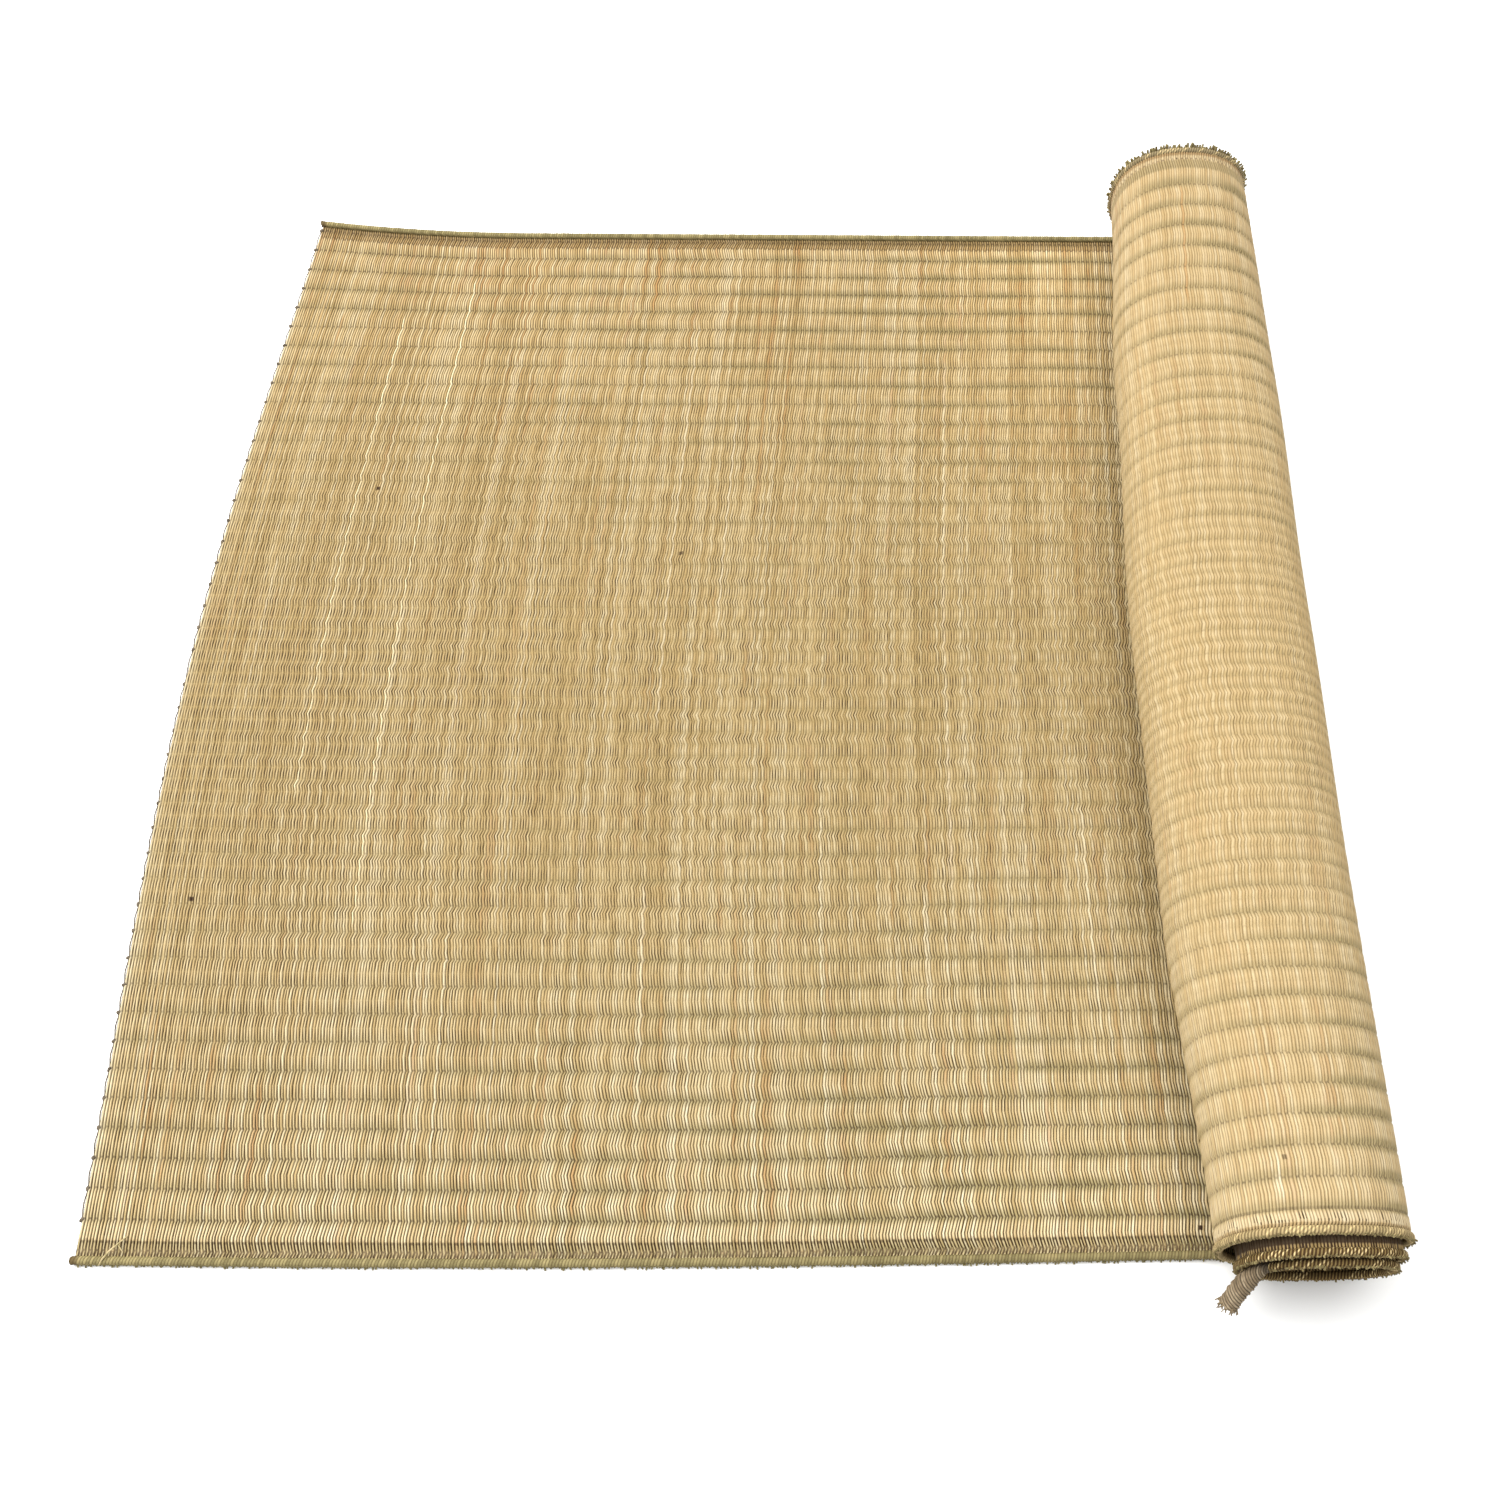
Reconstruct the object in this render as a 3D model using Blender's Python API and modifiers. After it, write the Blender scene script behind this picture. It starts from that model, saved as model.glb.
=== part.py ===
"""Woven grass floor mat, half of its length flat on the floor and the rest rolled up.

Frame: X runs along the mat's length, from its free end on the left to the roll on the right.
Y runs across the mat, away from the viewer, and the grass stems lie along it. +Z is up.
The origin is the middle of the whole part's footprint, on the floor. Metres.
"""
import bpy
import bmesh
from math import cos, pi, sin
from mathutils import Vector

MAT_WIDTH = 1.186
SHEET_THICK = 0.004
CORD_RADIUS = 0.004
PIECE_GAP = 0.0003
EDGE_INSET = 2 * CORD_RADIUS + PIECE_GAP
CORNER_KNOB = 0.002

FREE_END_X = -0.659
FREE_END_BOW = 0.028
BOW_POWER = 1.25
NEAR_EDGE_BOW = 0.008
NEAR_BOW_START = 0.25
FAR_EDGE_SLANT = 0.009
CORNER_LIFT = 0.016
CORNER_PULL = 0.6
LIFT_ALONG_X = 0.26
LIFT_ALONG_Y = 0.24

ROLL_TURNS = 2.67
ROLL_SQUARENESS = 2.3
LAYER_PITCH = {"left": 0.0145, "right": 0.0067, "top": 0.0095, "bottom": 0.0086}

# Turns after which the mat first passes each side of the roll.
FIRST_PASS = {"right": 0.25, "top": 0.5, "left": 0.75}

# The roll's outside at five places across the mat, from the near edge (0) to the far one (1).
ROLL_SHAPE = [
    {"across": 0.00, "left": 0.288, "right": 0.4410, "height": 0.134},
    {"across": 0.25, "left": 0.273, "right": 0.4415, "height": 0.130},
    {"across": 0.50, "left": 0.272, "right": 0.4470, "height": 0.126},
    {"across": 0.75, "left": 0.282, "right": 0.4530, "height": 0.130},
    {"across": 1.00, "left": 0.299, "right": 0.4540, "height": 0.137},
]

# How far the mat's near edge has slipped towards the viewer, by turns of the roll.
ROLL_SLIP = [
    {"turns": 0.0, "slip": 0.000},
    {"turns": 0.5, "slip": 0.000},
    {"turns": 1.0, "slip": 0.008},
    {"turns": 1.5, "slip": 0.015},
    {"turns": 2.0, "slip": 0.020},
    {"turns": 2.7, "slip": 0.022},
]

FLAT_STEPS = 16
ROLL_STEPS = 100
CORD_SETTLE_STEPS = 10
ACROSS_STEPS = 12
DENSE_STEPS_PER_TURN = 240

TAIL_RADIUS = 0.009
TAIL_NECK_RADIUS = 0.004
TAIL_REACH = {"x": -0.028, "y": -0.024, "z": -0.038}
TAIL_NECK_LENGTH = 0.004
TAIL_LEAD = 0.014
TAIL_STEPS = 12
TAIL_SWELL = 0.6

SHARP_ANGLE = 0.6
EDGE_CORD_RESOLUTION = 2
TAIL_RESOLUTION = 3


def clear_scene():
    for obj in list(bpy.data.objects):
        bpy.data.objects.remove(obj, do_unlink=True)


def make_material(name, colour, roughness):
    material = bpy.data.materials.new(name)
    material.use_nodes = True
    shader = material.node_tree.nodes["Principled BSDF"]
    shader.inputs["Base Color"].default_value = (*colour, 1.0)
    shader.inputs["Roughness"].default_value = roughness
    shader.inputs["Metallic"].default_value = 0.0
    return material


def read_table(rows, key, column, at):
    """Value of a column between the two rows whose key encloses the wanted place."""
    if at <= rows[0][key]:
        return rows[0][column]
    for low, high in zip(rows, rows[1:]):
        if at <= high[key]:
            part = (at - low[key]) / (high[key] - low[key])
            eased = part * part * (3 - 2 * part)
            return low[column] + eased * (high[column] - low[column])
    return rows[-1][column]


def rounded(value):
    """A sine or cosine bent towards a squarer outline, with its sign kept."""
    return (1 if value >= 0 else -1) * abs(value) ** (2 / ROLL_SQUARENESS)


def roll_point(turns, across):
    """Middle of the mat's thickness, as X and Z, after so many turns of the roll."""
    half_thick = SHEET_THICK / 2
    left = read_table(ROLL_SHAPE, "across", "left", across)
    right = read_table(ROLL_SHAPE, "across", "right", across)
    height = read_table(ROLL_SHAPE, "across", "height", across)
    left += half_thick + LAYER_PITCH["left"] * (turns - FIRST_PASS["left"])
    right -= half_thick + LAYER_PITCH["right"] * (turns - FIRST_PASS["right"])
    top = height - half_thick - LAYER_PITCH["top"] * (turns - FIRST_PASS["top"])
    bottom = half_thick + LAYER_PITCH["bottom"] * turns
    angle = 2 * pi * turns
    x = (left + right) / 2 + (right - left) / 2 * rounded(sin(angle))
    z = (top + bottom) / 2 - (top - bottom) / 2 * rounded(cos(angle))
    return x, z


def roll_path(across):
    """Evenly spaced X, Z and turns along the rolled part, from its first lift to its end."""
    count = int(DENSE_STEPS_PER_TURN * ROLL_TURNS)
    turns = [ROLL_TURNS * i / count for i in range(count + 1)]
    points = [roll_point(t, across) for t in turns]
    lengths = [0.0]
    for a, b in zip(points, points[1:]):
        lengths.append(lengths[-1] + ((b[0] - a[0]) ** 2 + (b[1] - a[1]) ** 2) ** 0.5)
    path = []
    i = 0
    for step in range(ROLL_STEPS + 1):
        wanted = lengths[-1] * step / ROLL_STEPS
        while i < count - 1 and lengths[i + 1] < wanted:
            i += 1
        part = (wanted - lengths[i]) / (lengths[i + 1] - lengths[i])
        x = points[i][0] + part * (points[i + 1][0] - points[i][0])
        z = points[i][1] + part * (points[i + 1][1] - points[i][1])
        path.append((x, z, turns[i] + part * (turns[i + 1] - turns[i])))
    return path


def corner_lift(x, y, left_edge):
    """Height by which the far corner of the free end has curled off the floor."""
    near_x = max(0.0, 1 - (x - left_edge) / LIFT_ALONG_X)
    near_y = max(0.0, 1 - (MAT_WIDTH - y) / LIFT_ALONG_Y)
    return CORNER_LIFT * (near_x * near_y) ** 2


def mat_section(across, inset):
    """Middle line of the mat at one place across it, as points from free end to inner end.

    The inset moves the two long edges inwards.
    """
    left_edge = FREE_END_X - FREE_END_BOW * sin(pi * across) ** BOW_POWER
    path = roll_path(across)
    flat_end = path[0][0]
    section = []
    for step in range(FLAT_STEPS):
        part = step / FLAT_STEPS
        x = left_edge + part * (flat_end - left_edge)
        near = inset - NEAR_EDGE_BOW * sin(pi * (NEAR_BOW_START + part * (1 - NEAR_BOW_START)))
        far = MAT_WIDTH - inset + FAR_EDGE_SLANT * (1 - part)
        y = near + across * (far - near)
        lift = corner_lift(x, y, left_edge)
        section.append(Vector((x + CORNER_PULL * lift, y, SHEET_THICK / 2 + lift)))
    for x, z, turns in path:
        slip = read_table(ROLL_SLIP, "turns", "slip", turns)
        y = inset - slip + across * (MAT_WIDTH - 2 * inset)
        section.append(Vector((x, y, z)))
    return section


def build_sheet(collection, material):
    """The woven sheet: its section is drawn at each place across and joined to the next."""
    mesh = bpy.data.meshes.new("mat_sheet")
    bm = bmesh.new()
    previous = []
    for place in range(ACROSS_STEPS + 1):
        row = [bm.verts.new(p) for p in mat_section(place / ACROSS_STEPS, EDGE_INSET)]
        for i in range(len(previous) - 1):
            bm.faces.new((previous[i], previous[i + 1], row[i + 1], row[i]))
        previous = row
    bm.to_mesh(mesh)
    bm.free()
    sheet = bpy.data.objects.new("mat_sheet", mesh)
    collection.objects.link(sheet)
    solidify = sheet.modifiers.new("thickness", "SOLIDIFY")
    solidify.thickness = SHEET_THICK
    solidify.offset = 0.0
    solidify.use_even_offset = True
    mesh.materials.append(material)
    mesh.shade_smooth()
    mesh.set_sharp_from_angle(angle=SHARP_ANGLE)
    return sheet


def section_normals(section):
    """Direction at each point that faces up on the flat part and into the hollow in the roll."""
    normals = []
    for i in range(len(section)):
        before = section[max(i - 1, 0)]
        after = section[min(i + 1, len(section) - 1)]
        normals.append(Vector((before.z - after.z, 0, after.x - before.x)).normalized())
    return normals


def build_tube(name, points, radii, resolution, collection, material):
    """A round cord along the points, closed at both ends."""
    curve = bpy.data.curves.new(name, "CURVE")
    curve.dimensions = "3D"
    curve.bevel_depth = 1.0
    curve.bevel_resolution = resolution
    curve.use_fill_caps = True
    curve.twist_mode = "Z_UP"
    spline = curve.splines.new("POLY")
    spline.points.add(len(points) - 1)
    for control, point, radius in zip(spline.points, points, radii):
        control.co = (*point, 1.0)
        control.radius = radius
    curve.materials.append(material)
    tube = bpy.data.objects.new(name, curve)
    collection.objects.link(tube)
    return tube


def edge_cord_points(across):
    """Route of the cord that the stems are turned over, along one long edge of the mat."""
    section = mat_section(across, CORD_RADIUS)
    normals = section_normals(section)
    points = []
    for i in range(len(section)):
        lifted = max(0.0, 1 - max(0, i - FLAT_STEPS) / CORD_SETTLE_STEPS)
        points.append(section[i] + normals[i] * lifted * (CORD_RADIUS - SHEET_THICK / 2))
    start = points[0]
    outwards = (start - points[1]).normalized()
    return [start + outwards * CORNER_KNOB] + points


def build_edge_cord(name, across, collection, material):
    points = edge_cord_points(across)
    radii = [CORD_RADIUS] * len(points)
    return build_tube(name, points, radii, EDGE_CORD_RESOLUTION, collection, material)


def build_tail(collection, material):
    """The wrapped loose end of the near edge's cord, out of the middle of the roll."""
    cord = edge_cord_points(0.0)
    heading = (cord[-1] - cord[-2]).normalized()
    root = cord[-1] + heading * PIECE_GAP
    start = root + heading * TAIL_NECK_LENGTH
    end = root + Vector((TAIL_REACH["x"], TAIL_REACH["y"], TAIL_REACH["z"]))
    bend = start + heading * TAIL_LEAD
    points = [root]
    radii = [TAIL_NECK_RADIUS]
    for i in range(TAIL_STEPS + 1):
        part = i / TAIL_STEPS
        points.append(start * (1 - part) ** 2 + bend * 2 * part * (1 - part) + end * part ** 2)
        swell = min(1.0, part / TAIL_SWELL)
        radii.append(TAIL_NECK_RADIUS + (TAIL_RADIUS - TAIL_NECK_RADIUS) * swell)
    return build_tube("cord_tail", points, radii, TAIL_RESOLUTION, collection, material)


def centre_on_floor(parts):
    """Move everything so that the origin is under the middle of the whole part."""
    bpy.context.view_layer.update()
    graph = bpy.context.evaluated_depsgraph_get()
    corners = []
    for part in parts:
        mesh = part.evaluated_get(graph).to_mesh()
        corners += [part.matrix_world @ v.co for v in mesh.vertices]
    middle = [(min(c[i] for c in corners) + max(c[i] for c in corners)) / 2 for i in range(2)]
    lowest = min(c.z for c in corners)
    for part in parts:
        part.location -= Vector((middle[0], middle[1], lowest))
    bpy.context.view_layer.update()


def main():
    clear_scene()
    collection = bpy.data.collections.new("grass_floor_mat")
    bpy.context.scene.collection.children.link(collection)
    straw = make_material("dried_grass", (0.62, 0.48, 0.25), 0.6)
    edge = make_material("edge_grass", (0.36, 0.31, 0.15), 0.75)
    fibre = make_material("wrapped_fibre", (0.34, 0.26, 0.16), 0.85)
    parts = [
        build_sheet(collection, straw),
        build_edge_cord("near_edge_cord", 0.0, collection, edge),
        build_edge_cord("far_edge_cord", 1.0, collection, edge),
        build_tail(collection, fibre),
    ]
    centre_on_floor(parts)


main()
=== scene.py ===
"""Looks of a grass floor mat that lies flat on the floor with its inner end rolled up.

The mat is first drawn flat, as woven, with its stems and binding rows numbered. Geometry Nodes then
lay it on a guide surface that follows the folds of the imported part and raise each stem. The folds
repeat the part's own sizes, in metres, with X along the mat, Y across it and +Z up.
"""
from math import ceil, cos, exp, floor, log, pi, radians, sin

import bpy
from bpy.props import FloatProperty, FloatVectorProperty, IntProperty, PointerProperty
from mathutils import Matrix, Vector


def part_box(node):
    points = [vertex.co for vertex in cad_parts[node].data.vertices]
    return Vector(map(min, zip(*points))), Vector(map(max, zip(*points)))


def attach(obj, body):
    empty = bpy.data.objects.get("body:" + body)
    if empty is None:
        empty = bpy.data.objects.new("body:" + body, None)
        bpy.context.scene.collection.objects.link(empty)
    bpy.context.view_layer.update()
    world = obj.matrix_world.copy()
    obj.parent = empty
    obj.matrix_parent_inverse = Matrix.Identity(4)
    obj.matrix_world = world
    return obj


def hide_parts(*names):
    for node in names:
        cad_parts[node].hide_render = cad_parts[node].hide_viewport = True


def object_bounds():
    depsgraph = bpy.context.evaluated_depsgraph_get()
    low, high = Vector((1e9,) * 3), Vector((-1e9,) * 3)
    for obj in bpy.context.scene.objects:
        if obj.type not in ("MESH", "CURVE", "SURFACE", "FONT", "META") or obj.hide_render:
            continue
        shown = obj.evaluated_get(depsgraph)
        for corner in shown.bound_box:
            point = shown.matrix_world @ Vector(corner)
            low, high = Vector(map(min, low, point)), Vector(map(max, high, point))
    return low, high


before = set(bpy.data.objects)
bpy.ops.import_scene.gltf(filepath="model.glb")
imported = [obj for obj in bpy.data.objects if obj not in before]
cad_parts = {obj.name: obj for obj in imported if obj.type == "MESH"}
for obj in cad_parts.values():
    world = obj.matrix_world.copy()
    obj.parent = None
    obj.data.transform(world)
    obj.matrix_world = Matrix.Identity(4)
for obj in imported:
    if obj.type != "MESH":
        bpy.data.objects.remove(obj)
CAD_LOW, CAD_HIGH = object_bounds()

bl_info = {
    "name": "Grass floor mat",
    "version": (1, 0, 0),
    "blender": (4, 5, 0),
    "location": "View3D > Sidebar > Grass Mat",
    "description": "Dresses the packed mat in woven stems, wrapped edges and tied threads",
    "category": "Object",
}

# The mat's folds, as the part's source has them.
MAT_WIDTH = 1.186
SHEET_THICK = 0.004
CORD_RADIUS = 0.004
PIECE_GAP = 0.0003
CORNER_KNOB = 0.002
EDGE_INSET = 2 * CORD_RADIUS + PIECE_GAP
SHEET_INSET = 0.0055

# The free end and the edges of the flat part, with the corner that has curled up.
FREE_END_X = -0.659
FREE_END_BOW = 0.028
BOW_POWER = 1.25
NEAR_EDGE_BOW = 0.008
NEAR_BOW_START = 0.25
FAR_EDGE_SLANT = 0.009
CORNER_LIFT = 0.016
CORNER_PULL = 0.6
LIFT_ALONG_X = 0.26
LIFT_ALONG_Y = 0.24

# The roll: its turns, how they narrow inwards, and how far they have slid along the mat's width.
ROLL_TURNS = 2.67
ROLL_SQUARENESS = 2.3
LAYER_PITCH = {"left": 0.0145, "right": 0.0067, "top": 0.0095, "bottom": 0.0086}
FIRST_PASS = {"right": 0.25, "top": 0.5, "left": 0.75}
ROLL_SHAPE = [
    {"across": 0.00, "left": 0.288, "right": 0.4410, "height": 0.134},
    {"across": 0.25, "left": 0.273, "right": 0.4415, "height": 0.130},
    {"across": 0.50, "left": 0.272, "right": 0.4470, "height": 0.126},
    {"across": 0.75, "left": 0.282, "right": 0.4530, "height": 0.130},
    {"across": 1.00, "left": 0.299, "right": 0.4540, "height": 0.137},
]
ROLL_SLIP = [
    {"turns": 0.0, "slip": 0.000},
    {"turns": 0.5, "slip": 0.000},
    {"turns": 1.0, "slip": 0.008},
    {"turns": 1.5, "slip": 0.015},
    {"turns": 2.0, "slip": 0.020},
    {"turns": 2.7, "slip": 0.022},
]
CORD_SETTLE_SHARE = 0.1

# The near cord's loose end.
TAIL_RADIUS = 0.0083
TAIL_NECK_RADIUS = 0.004
TAIL_REACH = Vector((-0.028, -0.024, -0.038))
TAIL_NECK_LENGTH = 0.004
TAIL_LEAD = 0.014
TAIL_SWELL = 0.6

# How finely the guide surface and the cords follow the folds.
FLAT_STEPS = 48
ROLL_STEPS = 320
ACROSS_STEPS = 48
DENSE_STEPS_PER_TURN = 480
TAIL_STEPS = 24

# The mat as woven: lengths before it was laid, and where its binding rows lie.
FLAT_LENGTH = 1.040
ROLL_LENGTH = 1.100
MAT_LENGTH = FLAT_LENGTH + ROLL_LENGTH
FLAT_SHARE = FLAT_LENGTH / MAT_LENGTH
FIRST_ROW = 0.037
ROW_PITCH = 0.0253
ROW_GROWTH = 0.0026
NEAR_SELVEDGE = -0.67
NEAR_TWINE = -1.06
FAR_SELVEDGE = 42.14
NEAR_ZONE_END = 19.0
FAR_ZONE_START = 20.5
FAR_ZONE_LENGTH = 22.0
ZONE_POWER = 1.1
# Where some rows lie in the roll, whose turns have slid so that their near edge is drawn in.
ROLLED_ROWS = [
    {"row": NEAR_SELVEDGE, "place": 0.0095},
    {"row": 0.0, "place": 0.0200},
    {"row": 18.0, "place": 0.4580},
    {"row": 25.5, "place": 0.6510},
    {"row": 33.5, "place": 0.8860},
    {"row": 41.5, "place": 1.1295},
]
SLIDE_FROM_STEM = 345
SLIDE_TO_STEM = 400
# Shares of the way to the next row at which the stems are shaped, for the rows of each zone.
ROW_STEPS = [
    {"up_to": 9, "steps": (0.0, 0.12, 0.5, 0.88)},
    {"up_to": 33, "steps": (0.0, 0.25, 0.5, 0.75)},
    {"up_to": 99, "steps": (0.0, 0.38, 0.5, 0.62)},
]

# Where the woven sheet is parted into pieces, by stem number, and which side of each shows.
SHEET_PIECES = [
    {"name": "weave_flat_left", "first": 0, "last": 126, "shows": 1},
    {"name": "weave_flat_middle", "first": 126, "last": 252, "shows": 1},
    {"name": "weave_flat_right", "first": 252, "last": 378, "shows": 1},
    {"name": "weave_outer_turn_start", "first": 378, "last": 470, "shows": -1},
    {"name": "weave_outer_turn_end", "first": 470, "last": 562, "shows": -1},
    {"name": "weave_inner_turns", "first": 562, "last": 778, "shows": 0},
]
STEM_PITCH = MAT_LENGTH / SHEET_PIECES[-1]["last"]
OUTER_TURN_END = SHEET_PIECES[-1]["first"] * STEM_PITCH
# Shares of a stem's width at which it is shaped, on the side that shows and on the other.
FINE_COLUMNS = (0.0, 1 / 3, 2 / 3)
PLAIN_COLUMNS = (0.0, 0.5)

# Rows between which a band or line near a long edge comes in or goes out.
ROW_BANDS = {
    "golden_hem": (-0.80, -0.66),
    "first_band": (NEAR_SELVEDGE, NEAR_SELVEDGE + 0.1),
    "first_band_end": (-0.3, -0.05),
    "inner_shade": (0.5, 2.0),
    "past_last": (42.02, 42.12),
    "last_band_end": (42.38, 42.46),
    "rim_strip": (42.40, 42.48),
    "seam": (42.56, 42.62),
    "far_hem": (FAR_SELVEDGE + 0.16, FAR_SELVEDGE + 0.26),
}
# Stems between which the tones of one part of the mat pass into those of the next.
# Some place painted shade and light: more shade on the roll's right flank and inner turns, less gap
# shade on its crown, and painted light on the flat's left and beside the roll.
STEM_BANDS = {
    "left": (60, 200),
    "greener": (60, 260),
    "right": (240, 340),
    "roll_foot": (378, 400),
    "shaded_right_flank": (436, 476),
    "crown": (440, 462),
    "crown_end": (486, 510),
    "inner_turns": (548, 572),
}

# Rows over which a marked stem's colour comes in and goes out.
MARK_FADE = 0.6

# Stems that stand out from the rest, between which rows, and how strongly.
MARKED_STEMS = [
    {"stem": 0, "from_row": -0.5, "to_row": 42.0, "share": 0.50, "colour": "cream"},
    {"stem": 48, "from_row": 32.8, "to_row": 38.3, "share": 0.80, "colour": "bleached"},
    {"stem": 75, "from_row": 32.8, "to_row": 40.5, "share": 0.80, "colour": "bleached"},
    {"stem": 48, "from_row": 15.0, "to_row": 33.4, "share": 0.60, "colour": "bleached"},
    {"stem": 75, "from_row": 10.0, "to_row": 33.4, "share": 0.55, "colour": "bleached"},
    {"stem": 23, "from_row": 19.0, "to_row": 26.0, "share": 0.35, "colour": "cream"},
    {"stem": 76, "from_row": 12.0, "to_row": 24.0, "share": 0.35, "colour": "cream"},
    {"stem": 99, "from_row": 0.5, "to_row": 9.0, "share": 0.40, "colour": "cream"},
    {"stem": 101, "from_row": 12.0, "to_row": 36.0, "share": 0.40, "colour": "cream"},
    {"stem": 108, "from_row": 1.7, "to_row": 10.3, "share": 0.40, "colour": "cream"},
    {"stem": 124, "from_row": 10.0, "to_row": 36.0, "share": 0.35, "colour": "cream"},
    {"stem": 156, "from_row": 18.0, "to_row": 37.0, "share": 0.35, "colour": "cream"},
    {"stem": 175, "from_row": 3.0, "to_row": 12.0, "share": 0.40, "colour": "cream"},
    {"stem": 176, "from_row": 18.0, "to_row": 38.0, "share": 0.40, "colour": "cream"},
    {"stem": 196, "from_row": 22.0, "to_row": 34.0, "share": 0.45, "colour": "cream"},
    {"stem": 236, "from_row": 0.6, "to_row": 15.0, "share": 0.30, "colour": "cream"},
    {"stem": 272, "from_row": 3.0, "to_row": 12.0, "share": 0.45, "colour": "cream"},
    {"stem": 282, "from_row": 12.0, "to_row": 36.0, "share": 0.25, "colour": "cream"},
    {"stem": 301, "from_row": 1.7, "to_row": 16.7, "share": 0.35, "colour": "cream"},
    {"stem": 324, "from_row": 13.0, "to_row": 29.0, "share": 0.30, "colour": "cream"},
    {"stem": 329, "from_row": 6.0, "to_row": 15.0, "share": 0.40, "colour": "cream"},
    {"stem": 336, "from_row": 4.5, "to_row": 13.5, "share": 0.40, "colour": "cream"},
    {"stem": 478, "from_row": 0.1, "to_row": 2.0, "share": 0.60, "colour": "cream"},
    {"stem": 479, "from_row": 0.1, "to_row": 1.3, "share": 0.50, "colour": "cream"},
    {"stem": 54, "from_row": 16.7, "to_row": 36.0, "share": 0.25, "colour": "shade"},
    {"stem": 76, "from_row": 24.0, "to_row": 36.0, "share": 0.35, "colour": "shade"},
    {"stem": 98, "from_row": 1.7, "to_row": 10.3, "share": 0.30, "colour": "shade"},
    {"stem": 162, "from_row": 16.7, "to_row": 36.0, "share": 0.30, "colour": "shade"},
    {"stem": 229, "from_row": 20.0, "to_row": 40.0, "share": 0.25, "colour": "shade"},
    {"stem": 275, "from_row": 3.0, "to_row": 12.0, "share": 0.30, "colour": "shade"},
    {"stem": 317, "from_row": 1.7, "to_row": 16.7, "share": 0.25, "colour": "shade"},
    {"stem": 41, "from_row": 0.3, "to_row": 4.2, "share": 0.45, "colour": "rust"},
    {"stem": 50, "from_row": -0.4, "to_row": 4.8, "share": 0.40, "colour": "rust"},
    {"stem": 51, "from_row": 1.0, "to_row": 4.8, "share": 0.45, "colour": "rust"},
    {"stem": 98, "from_row": 37.9, "to_row": 41.4, "share": 0.50, "colour": "rust"},
    {"stem": 155, "from_row": 38.3, "to_row": 42.0, "share": 0.60, "colour": "rust"},
    {"stem": 469, "from_row": 35.6, "to_row": 41.6, "share": 0.45, "colour": "rust"},
]
# Dark specks, by stem and row, and how dark each is.
DARK_SPECKS = [
    {"stem": 56.2, "row": 29.13, "share": 1.0},
    {"stem": 180.0, "row": 26.04, "share": 0.8},
    {"stem": 18.1, "row": 11.2, "share": 1.0},
    {"stem": 353.6, "row": -0.4, "share": 1.0},
    {"stem": 476.5, "row": 1.6, "share": 0.6},
]

# The cut stem ends along each run of the long edges: how far they lean over, and their size.
CUT_ENDS = [
    {"run": "near_edge", "edge": 0, "rolled": False, "lean": 0.5, "reach": 0.0030, "thick": 0.0018},
    {"run": "near_roll", "edge": 0, "rolled": True, "lean": 0.5, "reach": 0.0028, "thick": 0.0020},
    {"run": "far_edge", "edge": 1, "rolled": False, "lean": 0.5, "reach": 0.0032, "thick": 0.0018},
    {"run": "far_roll", "edge": 1, "rolled": True, "lean": 1.0, "reach": 0.0050, "thick": 0.0030},
]
END_SPACING = 0.9 * STEM_PITCH

# How many wraps the edge's grass, and the tail's thread, get ahead by on the way once round a cord.
EDGE_SLANT = 2.0
TAIL_SLANT = 6.0

# The two edge cords: where across the mat each lies, and the looks of its part in the roll.
EDGE_CORDS = [
    {"name": "near_edge", "across": 0.0, "seed": 3.0, "dull": 0.25,
     "outer": "rolled_near", "inner": "rolled_inner_shaded"},
    {"name": "far_edge", "across": 1.0, "seed": 9.0, "dull": 0.0,
     "outer": "rolled_far", "inner": "rolled_far"},
]

# The loose end's tip: rings of fibres at shares of its radius, their root depth and their spread.
TIP_RINGS = [
    {"share": 0.0, "count": 1},
    {"share": 0.35, "count": 9},
    {"share": 0.6, "count": 18},
    {"share": 0.8, "count": 28},
]
TIP_ROOT_DEPTH = 0.003
TIP_SPREAD = 0.35

# A stem that has come loose lies over the near corner of the free end.
LOOSE_STEM = [
    {"x": -0.6172, "y": 0.0180, "z": 0.0052, "radius": 0.0004},
    {"x": -0.6225, "y": 0.0115, "z": 0.0072, "radius": 0.0008},
    {"x": -0.6280, "y": 0.0050, "z": 0.0092, "radius": 0.0009},
    {"x": -0.6325, "y": -0.0010, "z": 0.0086, "radius": 0.0008},
    {"x": -0.6362, "y": -0.0060, "z": 0.0052, "radius": 0.0005},
]
LOOSE_TWIG = [
    {"x": -0.6240, "y": 0.0112, "z": 0.0062, "radius": 0.0005},
    {"x": -0.6205, "y": 0.0080, "z": 0.0072, "radius": 0.0006},
    {"x": -0.6172, "y": 0.0040, "z": 0.0068, "radius": 0.0004},
]

# The camera stands where the photograph was taken from, measured from the low corner of the part.
CAMERA_FROM_CORNER = Vector((0.6870, -0.1154, 1.2588))
CAMERA_TILT = radians(27.21)
CAMERA_LENS = 33.98
CAMERA_SENSOR = 36.0
CAMERA_SHIFT = -0.0713

# The soft lights, from the middle of the part, and the floor.
LIGHTS = [
    {"name": "key_light", "offset": (-2.4, 0.9, 2.9), "size": 3.2, "power": "key_power"},
    {"name": "top_light", "offset": (0.4, 0.5, 3.3), "size": 4.0, "power": "top_power"},
]
FLOOR_HALF = 12.0

# Distances from the mat's ends and hems over which the stems' unevenness comes in.
END_EASE = 0.012
LOOSE_EASE = 0.16
HEM_EASE = 0.03

# How far the rows wander, how deep the hems' rows lie, and how near the floor a thread may come.
ROW_WANDER = 0.006
SELVEDGE_DIP = 0.0004
LEAST_HEIGHT = 0.0001


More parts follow.
